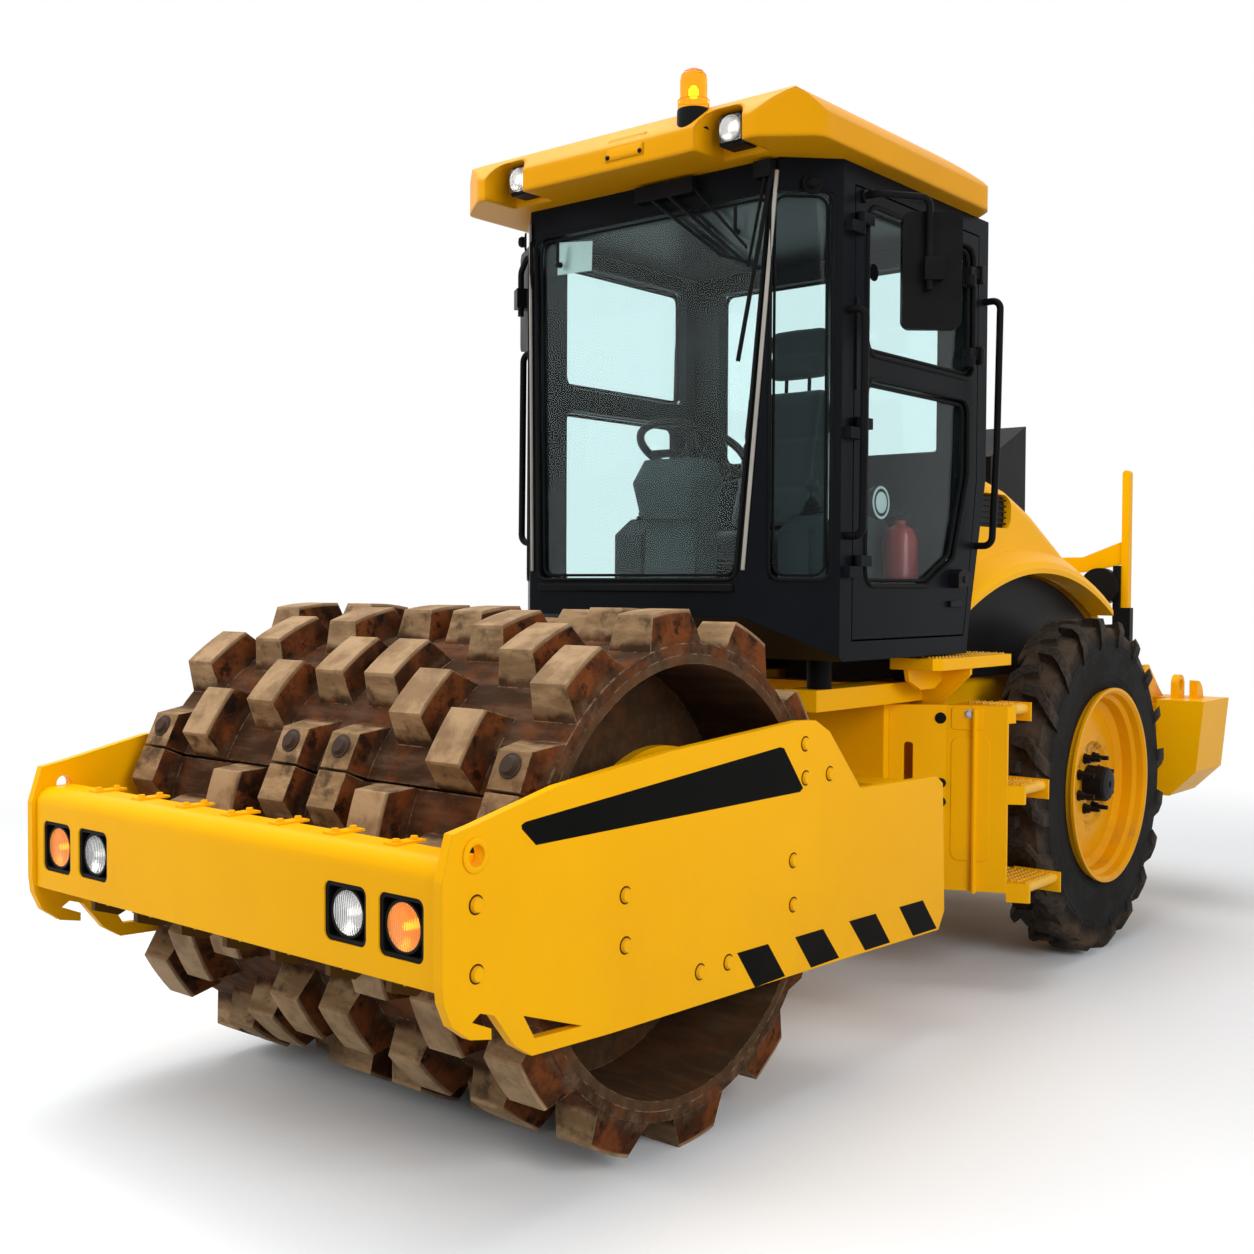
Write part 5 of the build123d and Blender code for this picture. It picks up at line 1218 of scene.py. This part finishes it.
pads = (  # name, side outline, half width, cap, channels as (axis, place)
    ("seat_cushion", ((-0.368, 1.512), (0.062, 1.512), (0.062, 1.588), (-0.368, 1.596)), 0.226, 0.016,
     ((0, -0.135), (0, 0.135), (1, -0.20))),
    ("seat_back", ((0.000, 1.628), (0.078, 1.628), (0.176, 2.150), (0.114, 2.150)), 0.216, 0.014,
     ((0, -0.125), (0, 0.125), (2, 1.78), (2, 1.96))),
    ("seat_head", ((0.110, 2.186), (0.190, 2.186), (0.200, 2.366), (0.130, 2.366)), 0.120, 0.012, ((2, 2.275),)),
)
for name, outline, half, cap, channels in pads:
    pad = pad_blank(name, outline, half)
    inflate(pad, cap)
    sew(pad, channels)
    pad.data.shade_smooth()
    pad.data.materials.clear()
    pad.data.materials.append(seat_cloth)
    finer = pad.modifiers.new("finer", "SUBSURF")
    finer.levels = finer.render_levels = 1
    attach(pad, "rear")
    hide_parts("seat")
    print(name, "faces", len(pad.data.polygons))

# %% Seat frame
back_plate = ((0.086, 1.58), (0.094, 1.58), (0.190, 2.13), (0.182, 2.13))
knee = ((0.03, 1.500), (0.094, 1.500), (0.094, 1.60), (0.086, 1.60), (0.078, 1.512), (0.03, 1.512))
bm = bmesh.new()
for x in (-0.05, 0.05):
    lathe(bm, ((0.0, 0.0), (0.0, 0.007), (0.10, 0.007), (0.10, 0.0)), (x, 0.145, 2.12), (0, 0.04, 1), 16)
block(bm, (-0.20, -0.33, 1.500), (0.20, 0.05, 1.512))
for outline in (back_plate, knee):
    plate(bm, [(-0.20, y, z) for y, z in outline], (0.40, 0, 0))
made("seat_frame", bm, "rear", plastic, bevel=0.003)

# %% [markdown]
# ## Steps
# Each tread's edge is a bright worn bar, and its plate is punched with teeth for grip. The bars are
# sleeves a fraction of a millimetre over the CAD bars. The teeth are small cones on a grid of points, with
# only six sides each, because there are hundreds.

# %% Step bars and teeth
treads = ((0.400, 0.860, 0.55), (0.736, 0.840, 0.485), (1.010, 0.800, 0.42))  # top, outer edge, back edge
tooth = {"head": 0.0062, "top": 0.0030, "collar": 0.0062, "collar_height": 0.001, "sides": 6}
bar_radius = 0.0176
bm = bmesh.new()
teeth = []
for top, reach, end in treads:
    lathe(bm, ((0.0085, 0.0), (0.0085, bar_radius), (end - 0.309, bar_radius), (end - 0.309, 0.0)),
          (reach - 0.020, 0.30, top - 0.017), back, 28)
    across = np.arange(reach - 0.050, 0.615, -0.026)
    along = np.arange(0.318, end - 0.016, 0.022)
    teeth += [((float(x), float(y), top - 0.0005), up) for x in across for y in along]
    teeth += [((reach - 0.020, float(y), top - 0.001), up) for y in along]
made("step_bars", bm, "rear", worn_yellow, mirror=True)
bolts("step_teeth", both(teeth), "rear", "yellow_paint", worn_yellow, height=0.0055, **tooth)

# %% Platform teeth
across, along = np.arange(0.535, 0.675, 0.026), np.arange(-0.02, 0.49, 0.024)
teeth = [((float(x), float(y), 1.1795), up) for x in across for y in along]
bolts("platform_teeth", both(teeth), "rear", "yellow_paint", worn_yellow, height=0.0050, **tooth)

# %% [markdown]
# ## Step panel
# The slanted panel in front of the steps carries a pressed patch with a bolt, a rubber plug and a round
# fitting. Its face looks forwards and outwards, so small plates are laid on it by a distance along the
# panel and a height.

# %% Step panel details
panel_start, panel_bend, panel_end = Vector((0.44, 0.065)), Vector((0.60, 0.18)), Vector((0.79, 0.262))
inner_way, outer_way = (panel_bend - panel_start).normalized(), (panel_end - panel_bend).normalized()


def on_panel(start, way, along, z, out=0.0):
    """A point on one leaf of the panel and a distance proud of it."""
    place = start + way * along + Vector((way.y, -way.x)) * out
    return (place.x, place.y, z)


def pressed(bm, low, high, corner, proud):
    """A patch with rounded corners on the panel's outer leaf, between two (along, height) corners."""
    sunk = 0.0006
    points = [on_panel(panel_bend, outer_way, a, z, -sunk) for a, _, z in rounded_outline(low, high, corner, 0.0)]
    plate(bm, points, (outer_way.y * (proud + sunk), -outer_way.x * (proud + sunk), 0))


bm = bmesh.new()
pressed(bm, (0.018, 0.925), (0.125, 1.004), 0.012, 0.0025)
pressed(bm, (0.018, 0.470), (0.150, 0.900), 0.030, 0.0022)
made("panel_patches", bm, "rear", yellow, bevel=0.002, mirror=True)
points = [(on_panel(panel_bend, outer_way, 0.078, 0.981, 0.0024), (outer_way.y, -outer_way.x, 0.0))]
bolts("patch_bolts", both(points), "rear", "pin_steel", bare_steel, head=0.0125, top=0.010, height=0.007, collar=0.016)
facing_out = (inner_way.y, -inner_way.x, 0.0)
plug = ((-0.001, 0.0), (-0.001, 0.020), (0.003, 0.019), (0.006, 0.012), (0.006, 0.0))
turned("panel_plugs", plug, on_panel(panel_start, inner_way, 0.178, 0.964), facing_out, "rear", rubber,
       sides=32, mirror=True)
points = [(on_panel(panel_start, inner_way, 0.182, z), facing_out) for z in (0.738, 0.672)]
bolts("panel_fittings", both(points), "rear", "black_paint", black_paint, head=0.014, top=0.012, height=0.012,
      collar=0.017, collar_height=0.003)

# %% [markdown]
# ## Floor, light and background
# A pale floor and broad soft lamps show the paint as it is. To the light that it throws back up the floor
# is a middle grey, so the machine's underside stays deep. The two low lamps don't show in reflections,
# where they would lie as bright squares on the cab's glass. The background is white where only the
# camera, reflections and glass see it, so it adds no light to the machine. The floor turns to the same
# white away from the machine, which hides its edge and keeps the soft shadow.

# %% Floor
def seen(tree):
    """One where the camera, a reflection or glass looks, and zero for light that lights the machine."""
    path = add(tree, "ShaderNodeLightPath")
    return maths(tree, "MAXIMUM", path.outputs["Is Camera Ray"],
                 maths(tree, "MAXIMUM", path.outputs["Is Glossy Ray"], path.outputs["Is Transmission Ray"]))


reach, fade_start, fade_end = 60, 3.2, 6.5
floor_mesh = bpy.data.meshes.new("floor")
floor_mesh.from_pydata([(-reach, -reach, 0), (reach, -reach, 0), (reach, reach, 0), (-reach, reach, 0)], [],
                       [(0, 1, 2, 3)])
floor = bpy.data.objects.new("floor", floor_mesh)
scene.collection.objects.link(floor)
pale, tree, skin = blank("pale floor")
spot = add(tree, "ShaderNodeTexCoord")
length = add(tree, "ShaderNodeVectorMath", operation="LENGTH")
join(tree, (spot.outputs["Object"], length.inputs[0]),
     (blended(tree, seen(tree), (0.50, 0.53, 0.56), (0.88, 0.905, 0.93)), skin.inputs["Base Color"]))
tune(skin, {"Roughness": 0.9, "Specular IOR Level": 0.0})
white = add(tree, "ShaderNodeEmission", {"Color": (1, 1, 1, 1), "Strength": 1.0})
mixed(tree, ramp(tree, length.outputs["Value"], fade_start, fade_end), skin, white)
floor_mesh.materials.append(pale)
floor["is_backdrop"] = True
print("floor ready")


# %% Lamps and world
def lamp(name, place, target, size, power):
    """A broad soft lamp that looks at a target."""
    data = bpy.data.lights.new(name, "AREA")
    data.shape = "RECTANGLE"
    data.size, data.size_y = size
    data.energy = power
    light = bpy.data.objects.new(name, data)
    scene.collection.objects.link(light)
    light.location = place
    light.rotation_euler = (Vector(target) - Vector(place)).to_track_quat("-Z", "Y").to_euler()
    return light


lamp("overhead softbox", (-1.0, -1.0, 7.0), (0, 0, 1.0), (6.0, 6.0), 430.0)
for name, place, target, power in (("front softbox", (-5.0, -6.5, 4.0), (0, -0.5, 1.2), 285.0),
                                   ("side softbox", (8.0, -3.0, 4.2), (0, 0, 1.2), 350.0)):
    lamp(name, place, target, (4.0, 4.0), power).visible_glossy = False
world = bpy.data.worlds.new("studio")
scene.world = world
world.use_nodes = True
tree = world.node_tree
background = tree.nodes["Background"]
tune(background, {"Color": (1.0, 1.0, 1.0, 1.0)})
join(tree, (ramp(tree, seen(tree), 0.0, 1.0, 0.40, 1.0), background.inputs["Strength"]))
scene.view_settings.view_transform = "Standard"
print("lamps and world ready")

# %% Sizes and finish
low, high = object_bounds()
print("visual size", [round(b - a, 3) for a, b in zip(low, high)])
